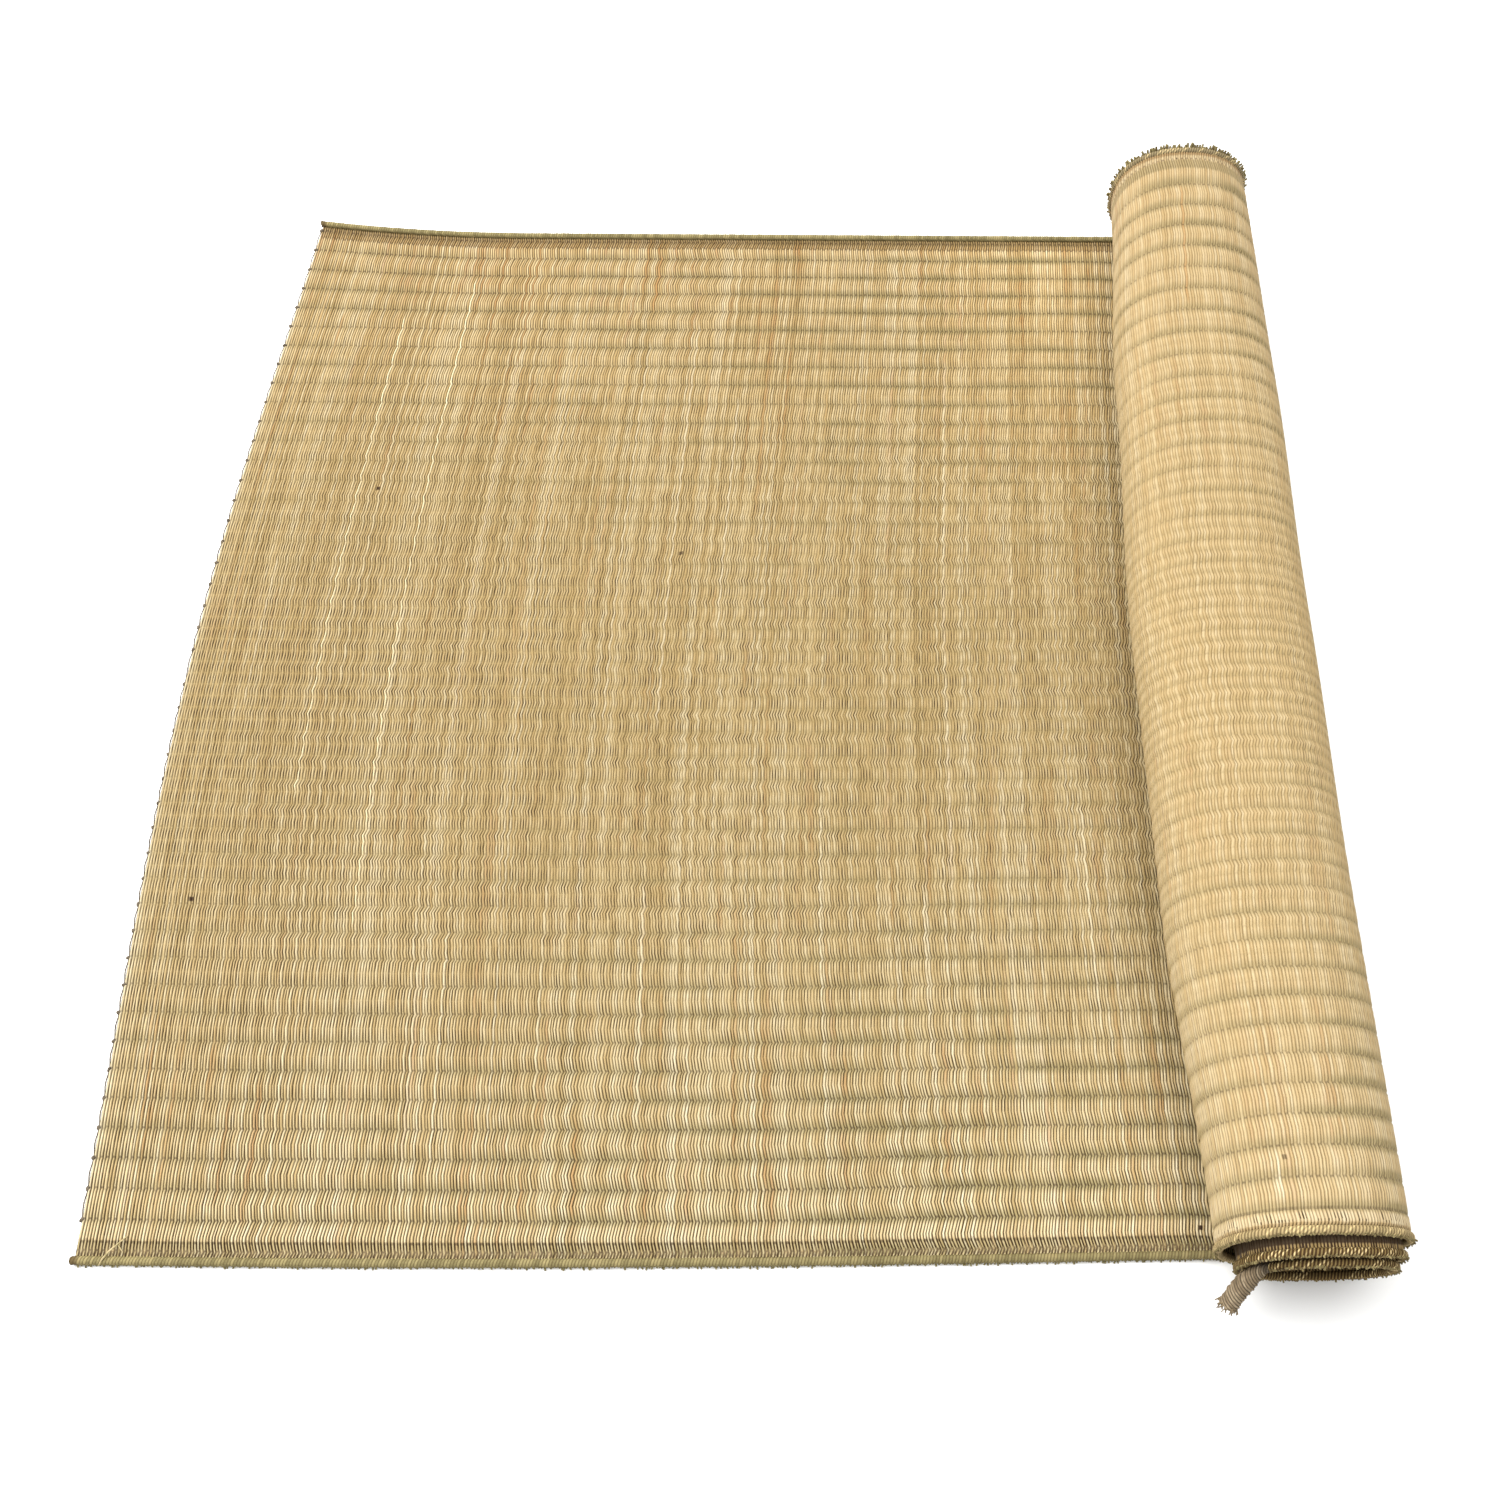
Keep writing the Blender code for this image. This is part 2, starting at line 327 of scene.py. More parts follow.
def eased(part):
    """Smooth rise from 0 to 1 as the part goes from 0 to 1."""
    part = min(max(part, 0.0), 1.0)
    return part * part * (3 - 2 * part)


def read_table(rows, key, column, at, bend=eased):
    """Value of a column between the two rows whose key encloses the wanted place."""
    if at <= rows[0][key]:
        return rows[0][column]
    for low, high in zip(rows, rows[1:]):
        if at <= high[key]:
            part = (at - low[key]) / (high[key] - low[key])
            return low[column] + bend(part) * (high[column] - low[column])
    return rows[-1][column]


def rounded(value):
    """A sine or cosine bent towards a squarer outline, with its sign kept."""
    return (1 if value >= 0 else -1) * abs(value) ** (2 / ROLL_SQUARENESS)


def roll_outline(across):
    """Left side, right side and height of the roll at one place across the mat."""
    return [read_table(ROLL_SHAPE, "across", name, across) for name in ("left", "right", "height")]


def roll_point(turns, outline):
    """Middle of the mat's thickness, as X and Z, after so many turns of the roll."""
    half_thick = SHEET_THICK / 2
    left = outline[0] + half_thick + LAYER_PITCH["left"] * (turns - FIRST_PASS["left"])
    right = outline[1] - half_thick - LAYER_PITCH["right"] * (turns - FIRST_PASS["right"])
    top = outline[2] - half_thick - LAYER_PITCH["top"] * (turns - FIRST_PASS["top"])
    bottom = half_thick + LAYER_PITCH["bottom"] * turns
    angle = 2 * pi * turns
    x = (left + right) / 2 + (right - left) / 2 * rounded(sin(angle))
    z = (top + bottom) / 2 - (top - bottom) / 2 * rounded(cos(angle))
    return x, z


def roll_path(across):
    """Evenly spaced X, Z and turns along the rolled part, from its first lift to its end."""
    outline = roll_outline(across)
    count = int(DENSE_STEPS_PER_TURN * ROLL_TURNS)
    turns = [ROLL_TURNS * i / count for i in range(count + 1)]
    points = [roll_point(t, outline) for t in turns]
    lengths = [0.0]
    for a, b in zip(points, points[1:]):
        lengths.append(lengths[-1] + ((b[0] - a[0]) ** 2 + (b[1] - a[1]) ** 2) ** 0.5)
    path = []
    i = 0
    for step in range(ROLL_STEPS + 1):
        wanted = lengths[-1] * step / ROLL_STEPS
        while i < count - 1 and lengths[i + 1] < wanted:
            i += 1
        part = (wanted - lengths[i]) / (lengths[i + 1] - lengths[i])
        x = points[i][0] + part * (points[i + 1][0] - points[i][0])
        z = points[i][1] + part * (points[i + 1][1] - points[i][1])
        path.append((x, z, turns[i] + part * (turns[i + 1] - turns[i])))
    return path


def corner_lift(x, y, left_edge):
    """Height by which the far corner of the free end has curled off the floor."""
    near_x = max(0.0, 1 - (x - left_edge) / LIFT_ALONG_X)
    near_y = max(0.0, 1 - (MAT_WIDTH - y) / LIFT_ALONG_Y)
    return CORNER_LIFT * (near_x * near_y) ** 2


def place_in_frame():
    """Shift from the folds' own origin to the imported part's, found from the sheet's low corner."""
    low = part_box("mat_sheet")[0]
    most_slip = max(row["slip"] for row in ROLL_SLIP)
    return Vector((low.x - (FREE_END_X - FREE_END_BOW), low.y - (EDGE_INSET - most_slip), 0.0))


SHIFT = place_in_frame()


def mat_section(across, inset):
    """Middle line of the mat at one place across it, as points from free end to inner end."""
    left_edge = FREE_END_X - FREE_END_BOW * sin(pi * across) ** BOW_POWER
    path = roll_path(across)
    flat_end = path[0][0]
    section = []
    for step in range(FLAT_STEPS):
        part = step / FLAT_STEPS
        x = left_edge + part * (flat_end - left_edge)
        near = inset - NEAR_EDGE_BOW * sin(pi * (NEAR_BOW_START + part * (1 - NEAR_BOW_START)))
        far = MAT_WIDTH - inset + FAR_EDGE_SLANT * (1 - part)
        y = near + across * (far - near)
        lift = corner_lift(x, y, left_edge)
        section.append(SHIFT + Vector((x + CORNER_PULL * lift, y, SHEET_THICK / 2 + lift)))
    for x, z, turns in path:
        slip = read_table(ROLL_SLIP, "turns", "slip", turns)
        y = inset - slip + across * (MAT_WIDTH - 2 * inset)
        section.append(SHIFT + Vector((x, y, z)))
    return section


def section_shares():
    """Share of the mat's woven length at each point of a section."""
    flat = [FLAT_SHARE * step / FLAT_STEPS for step in range(FLAT_STEPS)]
    rolled = [FLAT_SHARE + (1 - FLAT_SHARE) * step / ROLL_STEPS for step in range(ROLL_STEPS + 1)]
    return flat + rolled


def section_normals(section):
    """Direction at each point that faces up on the flat part and into the hollow in the roll."""
    normals = []
    for i in range(len(section)):
        before = section[max(i - 1, 0)]
        after = section[min(i + 1, len(section) - 1)]
        normals.append(Vector((before.z - after.z, 0, after.x - before.x)).normalized())
    return normals


def edge_cord_points(across):
    """Route of the cord that the stems are turned over, along one long edge of the mat."""
    section = mat_section(across, CORD_RADIUS)
    normals = section_normals(section)
    points = []
    for i in range(len(section)):
        rolled_share = max(0, i - FLAT_STEPS) / ROLL_STEPS
        lifted = max(0.0, 1 - rolled_share / CORD_SETTLE_SHARE)
        points.append(section[i] + normals[i] * lifted * (CORD_RADIUS - SHEET_THICK / 2))
    return points, normals


def row_place(row):
    """Distance from the near edge of the woven mat to a binding row, whose spacing slowly grows."""
    return FIRST_ROW + ROW_PITCH / ROW_GROWTH * (exp(ROW_GROWTH * row) - 1)


def row_number(place):
    """Number, with its fraction, of the binding row at a distance from the near edge."""
    return log(1 + ROW_GROWTH * (place - FIRST_ROW) / ROW_PITCH) / ROW_GROWTH


def rolled_place(row):
    """Distance from the near edge to a binding row where the mat is rolled up."""
    ends = [{"row": row_number(place), "place": place}
            for place in (SHEET_INSET, MAT_WIDTH - SHEET_INSET)]
    return read_table([ends[0], *ROLLED_ROWS, ends[1]], "row", "place", row, bend=float)


class Value:
    """One output in a node tree. Arithmetic on it adds Math nodes to that tree."""

    def __init__(self, graph, socket):
        self.graph = graph
        self.socket = socket

    def math(self, operation, *others):
        """The value put through a Math node, with the other inputs that it takes."""
        return self.graph.math(operation, self, *others)

    def __add__(self, other):
        return self.math("ADD", other)

    def __sub__(self, other):
        return self.math("SUBTRACT", other)

    def __mul__(self, other):
        return self.math("MULTIPLY", other)

    def __truediv__(self, other):
        return self.math("DIVIDE", other)

    def __rsub__(self, other):
        return self.graph.math("SUBTRACT", other, self)

    __radd__ = __add__

    def ease(self, low, high):
        """Rises smoothly from 0 at low to 1 at high."""
        inputs = {"Value": self, "From Min": low, "From Max": high}
        return self.graph.out("ShaderNodeMapRange", inputs, interpolation_type="SMOOTHSTEP")


class Graph:
    """A node tree being written: each call adds one node and gives back its output."""

    def __init__(self, tree):
        self.tree = tree
        tree.nodes.clear()

    def add(self, kind, inputs=None, **settings):
        """Adds a node, with its settings made and its inputs, by name or number, fed."""
        node = self.tree.nodes.new(kind)
        for name, setting in settings.items():
            setattr(node, name, setting)
        for key, value in (inputs or {}).items():
            self.feed(self.find(node.inputs, key), value)
        return node

    @staticmethod
    def find(sockets, key):
        """The socket with a number, or the enabled one with a name."""
        if isinstance(key, int):
            return sockets[key]
        return next(s for s in sockets if s.enabled and s.name == key)

    def feed(self, socket, value):
        """Links a value to a socket, or sets a plain number on it."""
        if isinstance(value, Value):
            self.tree.links.new(value.socket, socket)
        else:
            socket.default_value = value

    def out(self, kind, inputs=None, output=0, **settings):
        """Adds a node and gives back one of its outputs, by name or by its place."""
        node = self.add(kind, inputs, **settings)
        if isinstance(output, str):
            return Value(self, self.find(node.outputs, output))
        enabled = [s for s in node.outputs if s.enabled]
        return Value(self, enabled[output])

    def math(self, operation, *values):
        """A Math node's result."""
        return self.out("ShaderNodeMath", dict(enumerate(values)), operation=operation)

    def vector(self, x, y, z):
        """A vector of three numbers."""
        return self.out("ShaderNodeCombineXYZ", {0: x, 1: y, 2: z})

    def parts(self, vector):
        """The three numbers of a vector."""
        node = self.add("ShaderNodeSeparateXYZ", {0: vector})
        return [Value(self, s) for s in node.outputs]

    def added(self, a, b):
        """The sum of two vectors."""
        return self.out("ShaderNodeVectorMath", {0: a, 1: b}, operation="ADD")

    def scaled(self, vector, factor):
        """A vector, or a colour, times a number."""
        return self.out("ShaderNodeVectorMath", {0: vector, "Scale": factor}, operation="SCALE")

    def stored(self, name, kind="FLOAT"):
        """What is kept on the geometry under a name."""
        return self.out("GeometryNodeInputNamedAttribute", {"Name": name}, data_type=kind)

    def keep(self, geometry, name, value):
        """The geometry with a number kept on each of its points under a name."""
        inputs = {"Geometry": geometry, "Name": name, "Value": value}
        return self.out(
            "GeometryNodeStoreNamedAttribute", inputs, data_type="FLOAT", domain="POINT")

    def noise(self, x, y, z, detail=1.0):
        """Smooth noise, about 0 to 1, that changes about once for each unit of its three inputs."""
        inputs = {"Vector": self.vector(x, y, z), "Scale": 1.0, "Detail": detail}
        return self.out("ShaderNodeTexNoise", inputs)

    def chance(self, number):
        """A fixed random number from 0 to 1 for each whole number."""
        return self.out("ShaderNodeTexWhiteNoise", {"W": number}, noise_dimensions="1D")


class WeaveFields:
    """What the relief and the colours both need to know about a point of the weave."""

    def __init__(self, stem, row, side):
        self.stem = stem
        self.row = row
        self.side = side
        self.index = stem.math("FLOOR")
        self.within = stem.math("FRACT")
        near = (1 - row / NEAR_ZONE_END).math("MAXIMUM", 0).math("MINIMUM", 1)
        far = ((row - FAR_ZONE_START) / FAR_ZONE_LENGTH).math("MAXIMUM", 0)
        self.near = near.math("POWER", ZONE_POWER)
        self.far = far.math("MINIMUM", 1).math("POWER", ZONE_POWER)
        self.middle = 1 - self.near - self.far
        self.past_whole_row = row.math("FRACT")
        self.past_half_row = (row + 0.5).math("FRACT")
        self.past_any_row = (row * 2).math("FRACT")
        self.odd = (self.index * 0.5).math("FRACT") * 2
        self.odd_here = (self.odd + (side * 0.5 + 0.5)).math("MODULO", 2)
        self.selvedge = 1 - row.ease(NEAR_SELVEDGE - 0.04, NEAR_SELVEDGE + 0.04)
        self.selvedge += row.ease(FAR_SELVEDGE - 0.04, FAR_SELVEDGE + 0.04)

    def by_zone(self, shape, between=1.0):
        """A shape drawn from row to row.

        The whole rows are strong at the near edge and the half rows at the far edge. In the middle
        of the mat both are alike, and weaker by the factor between. The shape is given the share of
        the way to the next row, and how many rows that way is.
        """
        on_whole = shape(self.past_whole_row, 1.0) * self.near
        on_half = shape(self.past_half_row, 1.0) * self.far
        return on_whole + on_half + shape(self.past_any_row, 0.5) * (self.middle * between)

    def at_row(self, reach, between=1.0):
        """1 on each row, fading to 0 at a distance from it."""
        return self.by_zone(
            lambda p, span: 1 - (p.math("MINIMUM", 1 - p) * span).ease(0.0, reach), between)


def new_group(name, sockets):
    """A Geometry Nodes tree with a Geometry input and output and the named inputs."""
    tree = bpy.data.node_groups.new(name, "GeometryNodeTree")
    tree.interface.new_socket("Geometry", in_out="OUTPUT", socket_type="NodeSocketGeometry")
    tree.interface.new_socket("Geometry", in_out="INPUT", socket_type="NodeSocketGeometry")
    for label, kind in sockets.items():
        tree.interface.new_socket(label, in_out="INPUT", socket_type="NodeSocket" + kind)
    graph = Graph(tree)
    entry = graph.add("NodeGroupInput")
    inputs = {s.name: Value(graph, s) for s in entry.outputs if s.name}
    return graph, inputs


def close_group(graph, geometry, material):
    """Ends a tree in Realize Instances and Set Material."""
    real = graph.out("GeometryNodeRealizeInstances", {"Geometry": geometry})
    painted = graph.out("GeometryNodeSetMaterial", {"Geometry": real, "Material": material})
    graph.add("NodeGroupOutput", {0: painted})


def run_group(obj, tree, inputs):
    """Runs the tree on the object with its inputs set, and gives back a plain mesh object."""
    modifier = obj.modifiers.new("nodes", "NODES")
    modifier.node_group = tree
    for item in tree.interface.items_tree:
        if item.in_out == "INPUT" and item.name in inputs:
            modifier[item.identifier] = inputs[item.name]
    bpy.context.view_layer.update()
    graph = bpy.context.evaluated_depsgraph_get()
    mesh = bpy.data.meshes.new_from_object(obj.evaluated_get(graph), depsgraph=graph)
    name = obj.name
    bpy.data.objects.remove(obj, do_unlink=True)
    mesh.name = name
    piece = link_object(name, mesh)
    if not mesh.polygons:
        raise RuntimeError(f"{name}: the node tree gave no faces")
    return piece


def store_vectors(mesh, name, vectors):
    """Keeps a vector on each of a mesh's points under a name."""
    stored = mesh.attributes.new(name, "FLOAT_VECTOR", "POINT")
    stored.data.foreach_set("vector", [part for vector in vectors for part in vector])


def point_mesh(name, points, directions):
    """Loose points, each with its direction."""
    mesh = bpy.data.meshes.new(name)
    mesh.from_pydata(points, [], [])
    store_vectors(mesh, "outwards", directions)
    return link_object(name, mesh)


def link_object(name, data):
    """A new object in the scene that shows the data."""
    obj = bpy.data.objects.new(name, data)
    bpy.context.scene.collection.objects.link(obj)
    return obj


def curve_object(name, points, radii):
    """A curve of one poly spline through the points."""
    curve = bpy.data.curves.new(name, "CURVE")
    curve.dimensions = "3D"
    curve.twist_mode = "Z_UP"
    spline = curve.splines.new("POLY")
    spline.points.add(len(points) - 1)
    for control, point, radius in zip(spline.points, points, radii):
        control.co = (*point, 1.0)
        control.radius = radius
    return link_object(name, curve)


def finish_piece(piece, slot, *nodes):
    """The piece rides on the mat's one body and stands for some nodes, whose parts are hidden. The
    slot is not used.
    """
    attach(piece, "root")
    if nodes:
        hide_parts(*nodes)


def grid_faces(width, height, start=0, flipped=False):
    """Four-sided faces over a grid of points, counted from start, each row width points long."""
    faces = []
    for j in range(height - 1):
        for i in range(width - 1):
            a = start + j * width + i
            face = (a, a + 1, a + 1 + width, a + width)
            faces.append(face[::-1] if flipped else face)
    return faces


def build_guide():
    """The smooth surface in the middle of the mat's thickness. Its UV map is the mat laid flat."""
    shares = section_shares()
    width = len(shares)
    verts = []
    for place in range(ACROSS_STEPS + 1):
        verts += mat_section(place / ACROSS_STEPS, SHEET_INSET)
    mesh = bpy.data.meshes.new("mat_guide")
    mesh.from_pydata(verts, [], grid_faces(width, ACROSS_STEPS + 1))
    mesh.shade_smooth()
    uv = mesh.uv_layers.new(name="folds")
    for loop in mesh.loops:
        place, i = divmod(loop.vertex_index, width)
        uv.uv[loop.index].vector = (shares[i], place / ACROSS_STEPS)
    store_vectors(mesh, "up", [vertex.normal for vertex in mesh.vertices])
    return link_object("mat_guide", mesh)


def row_marks(fine):
    """Row numbers at which the stems are shaped, close to the strong rows and wide between them."""
    first = row_number(SHEET_INSET)
    last = row_number(MAT_WIDTH - SHEET_INSET)
    marks = {first, last}
    for whole in range(ceil(first), floor(last) + 1):
        marks.add(float(whole))
        if fine:
            steps = next(zone["steps"] for zone in ROW_STEPS if whole < zone["up_to"])
            marks |= {whole + step for step in steps}
    if fine:
        marks |= {edge + side for edge in (NEAR_SELVEDGE, FAR_SELVEDGE) for side in (-0.05, 0.05)}
    return sorted(mark for mark in marks if first <= mark <= last)


def stem_marks(first, last, columns):
    """Stem numbers at which a side of the sheet is shaped."""
    marks = [stem + column for stem in range(first, last) for column in columns]
    return marks + [float(last)]


def woven_slab(name, first, last, shows):
    """A run of stems as a closed slab, not yet laid. Each point keeps its stem, row and side."""
    sides = {}
    points, stems, rows, side_of, faces = [], [], [], [], []
    for side in (1, -1):
        fine = side == shows
        columns = stem_marks(first, last, FINE_COLUMNS if fine else PLAIN_COLUMNS)
        marks = row_marks(fine)
        start = len(points)
        for mark in marks:
            level = row_place(mark)
            slide = rolled_place(mark) - level
            for column in columns:
                slid = eased((column - SLIDE_FROM_STEM) / (SLIDE_TO_STEM - SLIDE_FROM_STEM))
                points.append((column * STEM_PITCH, level + slide * slid, side * SHEET_THICK / 2))
                stems.append(column)
                rows.append(mark)
                side_of.append(float(side))
        width = len(columns)
        faces += grid_faces(width, len(marks), start, flipped=side < 0)
        index = {}
        for j, mark in enumerate(marks):
            for i, column in enumerate(columns):
                if i in (0, width - 1) or j in (0, len(marks) - 1):
                    index[column, mark] = start + j * width + i
        sides[side] = {"columns": columns, "marks": marks, "index": index}
    faces += rim_faces(sides, first, last)
    mesh = bpy.data.meshes.new(name)
    mesh.from_pydata(points, [], faces)
    for label, values in (("stem", stems), ("row", rows), ("side", side_of)):
        mesh.attributes.new(label, "FLOAT", "POINT").data.foreach_set("value", values)
    return link_object(name, mesh)


def rim_faces(sides, first, last):
    """Faces that close a slab's four borders between corners that both of its sides have."""
    faces = []
    shared_rows = sorted(set(sides[1]["marks"]) & set(sides[-1]["marks"]))
    for low, high in zip(shared_rows, shared_rows[1:]):
        for column, outwards in ((float(first), False), (float(last), True)):
            runs = []
            for side in (1, -1):
                marks = [m for m in sides[side]["marks"] if low <= m <= high]
                runs.append([sides[side]["index"][column, m] for m in marks])
            face = runs[0] + runs[1][::-1]
            faces.append(face[::-1] if outwards else face)
    for stem in range(first, last):
        for edge, far in ((0, False), (-1, True)):
            runs = []
            for side in (1, -1):
                mark = sides[side]["marks"][edge]
                columns = [c for c in sides[side]["columns"] if stem <= c <= stem + 1]
                runs.append([sides[side]["index"][c, mark] for c in columns])
            face = runs[0][::-1] + runs[1]
            faces.append(face[::-1] if far else face)
    return faces


def laid_weave_tree():
    """Lays the slab on the guide's folds, with each stem bowed and set over and under the rows."""
    graph, inputs = new_group("Stems laid on the folds", {
        "Guide": "Object", "Stem depth": "Float", "Row dip": "Float", "Row notch": "Float",
        "Over and under": "Float", "Bow": "Float", "Lean": "Float", "Uneven": "Float",
        "Seed": "Float", "Material": "Material",
    })
    weave = WeaveFields(*[graph.stored(name) for name in ("stem", "row", "side")])
    position = graph.out("GeometryNodeInputPosition")
    along, across, _ = graph.parts(position)
    seed = inputs["Seed"]
    moved = sideways(graph, weave, along, across, inputs)
    wander = (graph.noise(along * 3, across * 0.8, seed) - 0.5) * ROW_WANDER
    inside = (across - SHEET_INSET).ease(0, HEM_EASE)
    inside = inside * (MAT_WIDTH - SHEET_INSET - across).ease(0, HEM_EASE)
    share = moved / MAT_LENGTH
    share_across = (across + wander * inside - SHEET_INSET) / (MAT_WIDTH - 2 * SHEET_INSET)
    place = graph.vector(share, share_across, 0)
    guide = graph.out("GeometryNodeObjectInfo", {"Object": inputs["Guide"]}, "Geometry")
    folds = graph.stored("folds", "FLOAT_VECTOR")
    up = graph.stored("up", "FLOAT_VECTOR")
    found = []
    for value in (position, up):
        sample = {"Mesh": guide, "Value": value, "UV Map": folds, "Sample UV": place}
        found.append(graph.out("GeometryNodeSampleUVSurface", sample, data_type="FLOAT_VECTOR"))
    raised = graph.scaled(found[1], stem_height(graph, weave, inputs))
    final = graph.added(found[0], raised)
    laid = graph.out("GeometryNodeSetPosition", {"Geometry": inputs["Geometry"], "Position": final})
    smooth = graph.out("GeometryNodeSetShadeSmooth", {"Geometry": laid})
    close_group(graph, smooth, inputs["Material"])
    return graph.tree


def sideways(graph, weave, along, across, inputs):
    """Where along the mat a point ends up: stems differ in width, bow and lean between rows."""
    seed = inputs["Seed"]
    here = graph.chance(weave.index + seed)
    after = graph.chance(weave.index + seed + 1)
    width = (here + (after - here) * weave.within - 0.5) * inputs["Uneven"]
    waver = (graph.noise(weave.stem * 0.9, across * 45, seed) - 0.5) * inputs["Uneven"] * 0.8
    bow_here = (graph.noise(along * 4.5, across * 2.2, seed + 3.0) - 0.5) * inputs["Bow"] * 3
    bow_here = (bow_here - inputs["Bow"] * 0.7) * (1 - weave.stem.ease(360, 400) * 0.6)
    bowed = weave.by_zone(lambda p, span: (p * pi).math("SINE") * span) * bow_here
    lean_here = (graph.noise(along * 5.5, across * 2.6, seed + 8.0) - 0.4) * inputs["Lean"] * 4
    leaning = weave.by_zone(lambda p, span: (p - 0.5) * span) * lean_here
    twin = (weave.row * (2 * pi)).math("SINE") * weave.middle * inputs["Bow"] * 0.3
    inside = along.ease(0, END_EASE) * (MAT_LENGTH - along).ease(0, END_EASE)
    loose = along.ease(0, LOOSE_EASE) * (MAT_LENGTH - along).ease(0, LOOSE_EASE)
    return along + (width + waver) * inside + (bowed + leaning + twin) * loose


def stem_height(graph, weave, inputs):
    """Height of a point over the middle of the mat's thickness, below it on the underside."""
    profile = (weave.within * pi).math("SINE").math("POWER", 0.75)
    dip = weave.by_zone(lambda p, span: 1 - (p * pi).math("SINE").math("POWER", 0.7), 0.3)
    notch = weave.at_row(0.1, 0.35) * (weave.odd_here * 0.75 + 0.25) * inputs["Row notch"]
    plump = (graph.chance(weave.index * 1.7 + inputs["Seed"]) - 0.5) * inputs["Uneven"]
    shell = SHEET_THICK / 2 - inputs["Stem depth"] * (1 - profile) + plump * profile
    shell = shell - inputs["Row dip"] * dip - notch * profile - weave.selvedge * SELVEDGE_DIP
    lifted = (weave.row * (2 * pi)).math("COSINE") * (1 - weave.odd * 2) * profile
    lifted = lifted * inputs["Over and under"] * (weave.middle * 0.7 + 0.3)
    height = weave.side * shell + lifted
    return height.math("MAXIMUM", -SHEET_THICK / 2)


def wrapped_cord_tree():
    """A round cord whose surface is ridged by the stems or thread wrapped about it."""
    graph, inputs = new_group("Wrapped cord", {
        "Sides": "Int", "Wrap pitch": "Float", "Wrap depth": "Float", "Slant": "Float",
        "Uneven": "Float", "Steps a wrap": "Float", "Seed": "Float", "Material": "Material",
    })
    spaced = {"Curve": inputs["Geometry"], "Length": inputs["Wrap pitch"] / inputs["Steps a wrap"]}
    route = graph.out("GeometryNodeResampleCurve", spaced, mode="LENGTH")
    length = graph.out("GeometryNodeSplineParameter", output="Length")
    route = graph.keep(route, "along", length)
    circle = {"Resolution": inputs["Sides"], "Radius": 1.0}
    ring = graph.out("GeometryNodeCurvePrimitiveCircle", circle)
    around = graph.out("GeometryNodeSplineParameter", output="Factor")
    ring = graph.keep(ring, "around", around)
    radius = graph.out("GeometryNodeInputRadius")
    swept = {"Curve": route, "Profile Curve": ring, "Scale": radius, "Fill Caps": True}
    tube = graph.out("GeometryNodeCurveToMesh", swept)
    along, about = graph.stored("along"), graph.stored("around")
    turn = along / inputs["Wrap pitch"] + about * inputs["Slant"]
    ridge = (turn * pi).math("SINE").math("ABSOLUTE").math("POWER", 0.6) - 1
    lumps = graph.chance(turn.math("FLOOR") + inputs["Seed"]) - 0.8
    rough = graph.noise(along * 400, about * 9, inputs["Seed"]) - 0.5
    height = ridge * inputs["Wrap depth"] + (lumps + rough) * inputs["Uneven"]
    offset = graph.scaled(graph.out("GeometryNodeInputNormal"), height)
    shaped = graph.out("GeometryNodeSetPosition", {"Geometry": tube, "Offset": offset})
    smooth = graph.out("GeometryNodeSetShadeSmooth", {"Geometry": shaped})
    close_group(graph, smooth, inputs["Material"])
    return graph.tree


def kept_above_floor(graph, geometry):
    """The geometry with every point that would lie lower brought up to just above the floor."""
    x, y, z = graph.parts(graph.out("GeometryNodeInputPosition"))
    above = graph.vector(x, y, z.math("MAXIMUM", LEAST_HEIGHT))
    return graph.out("GeometryNodeSetPosition", {"Geometry": geometry, "Position": above})


def frayed_ends_tree():
    """A short cut stem end at each point, leaning the way that the point's direction says."""
    graph, inputs = new_group("Frayed stem ends", {
        "Length": "Float", "Thickness": "Float", "Scatter": "Float", "Splay": "Float",
        "Sides": "Int", "Seed": "Int", "Material": "Material",
    })

    def random_vector(reach, seed):
        """A vector at random for each point, with each of its numbers within the reach."""
        limits = {"Min": graph.scaled(graph.vector(1, 1, 1), reach * -1),
                  "Max": graph.scaled(graph.vector(1, 1, 1), reach), "Seed": seed}
        return graph.out("FunctionNodeRandomValue", limits, data_type="FLOAT_VECTOR")

    nudge = random_vector(inputs["Scatter"], inputs["Seed"])
    places = {"Geometry": inputs["Geometry"], "Offset": nudge}
    points = graph.out("GeometryNodeSetPosition", places)
    outwards = graph.stored("outwards", "FLOAT_VECTOR")
    leaning = graph.added(outwards, random_vector(inputs["Splay"], inputs["Seed"] + 1))
    turned = graph.out("FunctionNodeAlignRotationToVector", {"Vector": leaning}, axis="Z")
    cone = {"Vertices": inputs["Sides"], "Radius Top": inputs["Thickness"] * 0.4,
            "Radius Bottom": inputs["Thickness"] * 0.5, "Depth": inputs["Length"]}
    end = graph.out("GeometryNodeMeshCone", cone)
    sizes = {"Min": 0.45, "Max": 1.15, "Seed": inputs["Seed"] + 2}
    longer = graph.out("FunctionNodeRandomValue", sizes, data_type="FLOAT")
    size = graph.vector(1, 1, longer)
    set_out = {"Points": points, "Instance": end, "Rotation": turned, "Scale": size}
    ends = graph.out("GeometryNodeInstanceOnPoints", set_out)
    real = graph.out("GeometryNodeRealizeInstances", {"Geometry": ends})
    close_group(graph, kept_above_floor(graph, real), inputs["Material"])
    return graph.tree


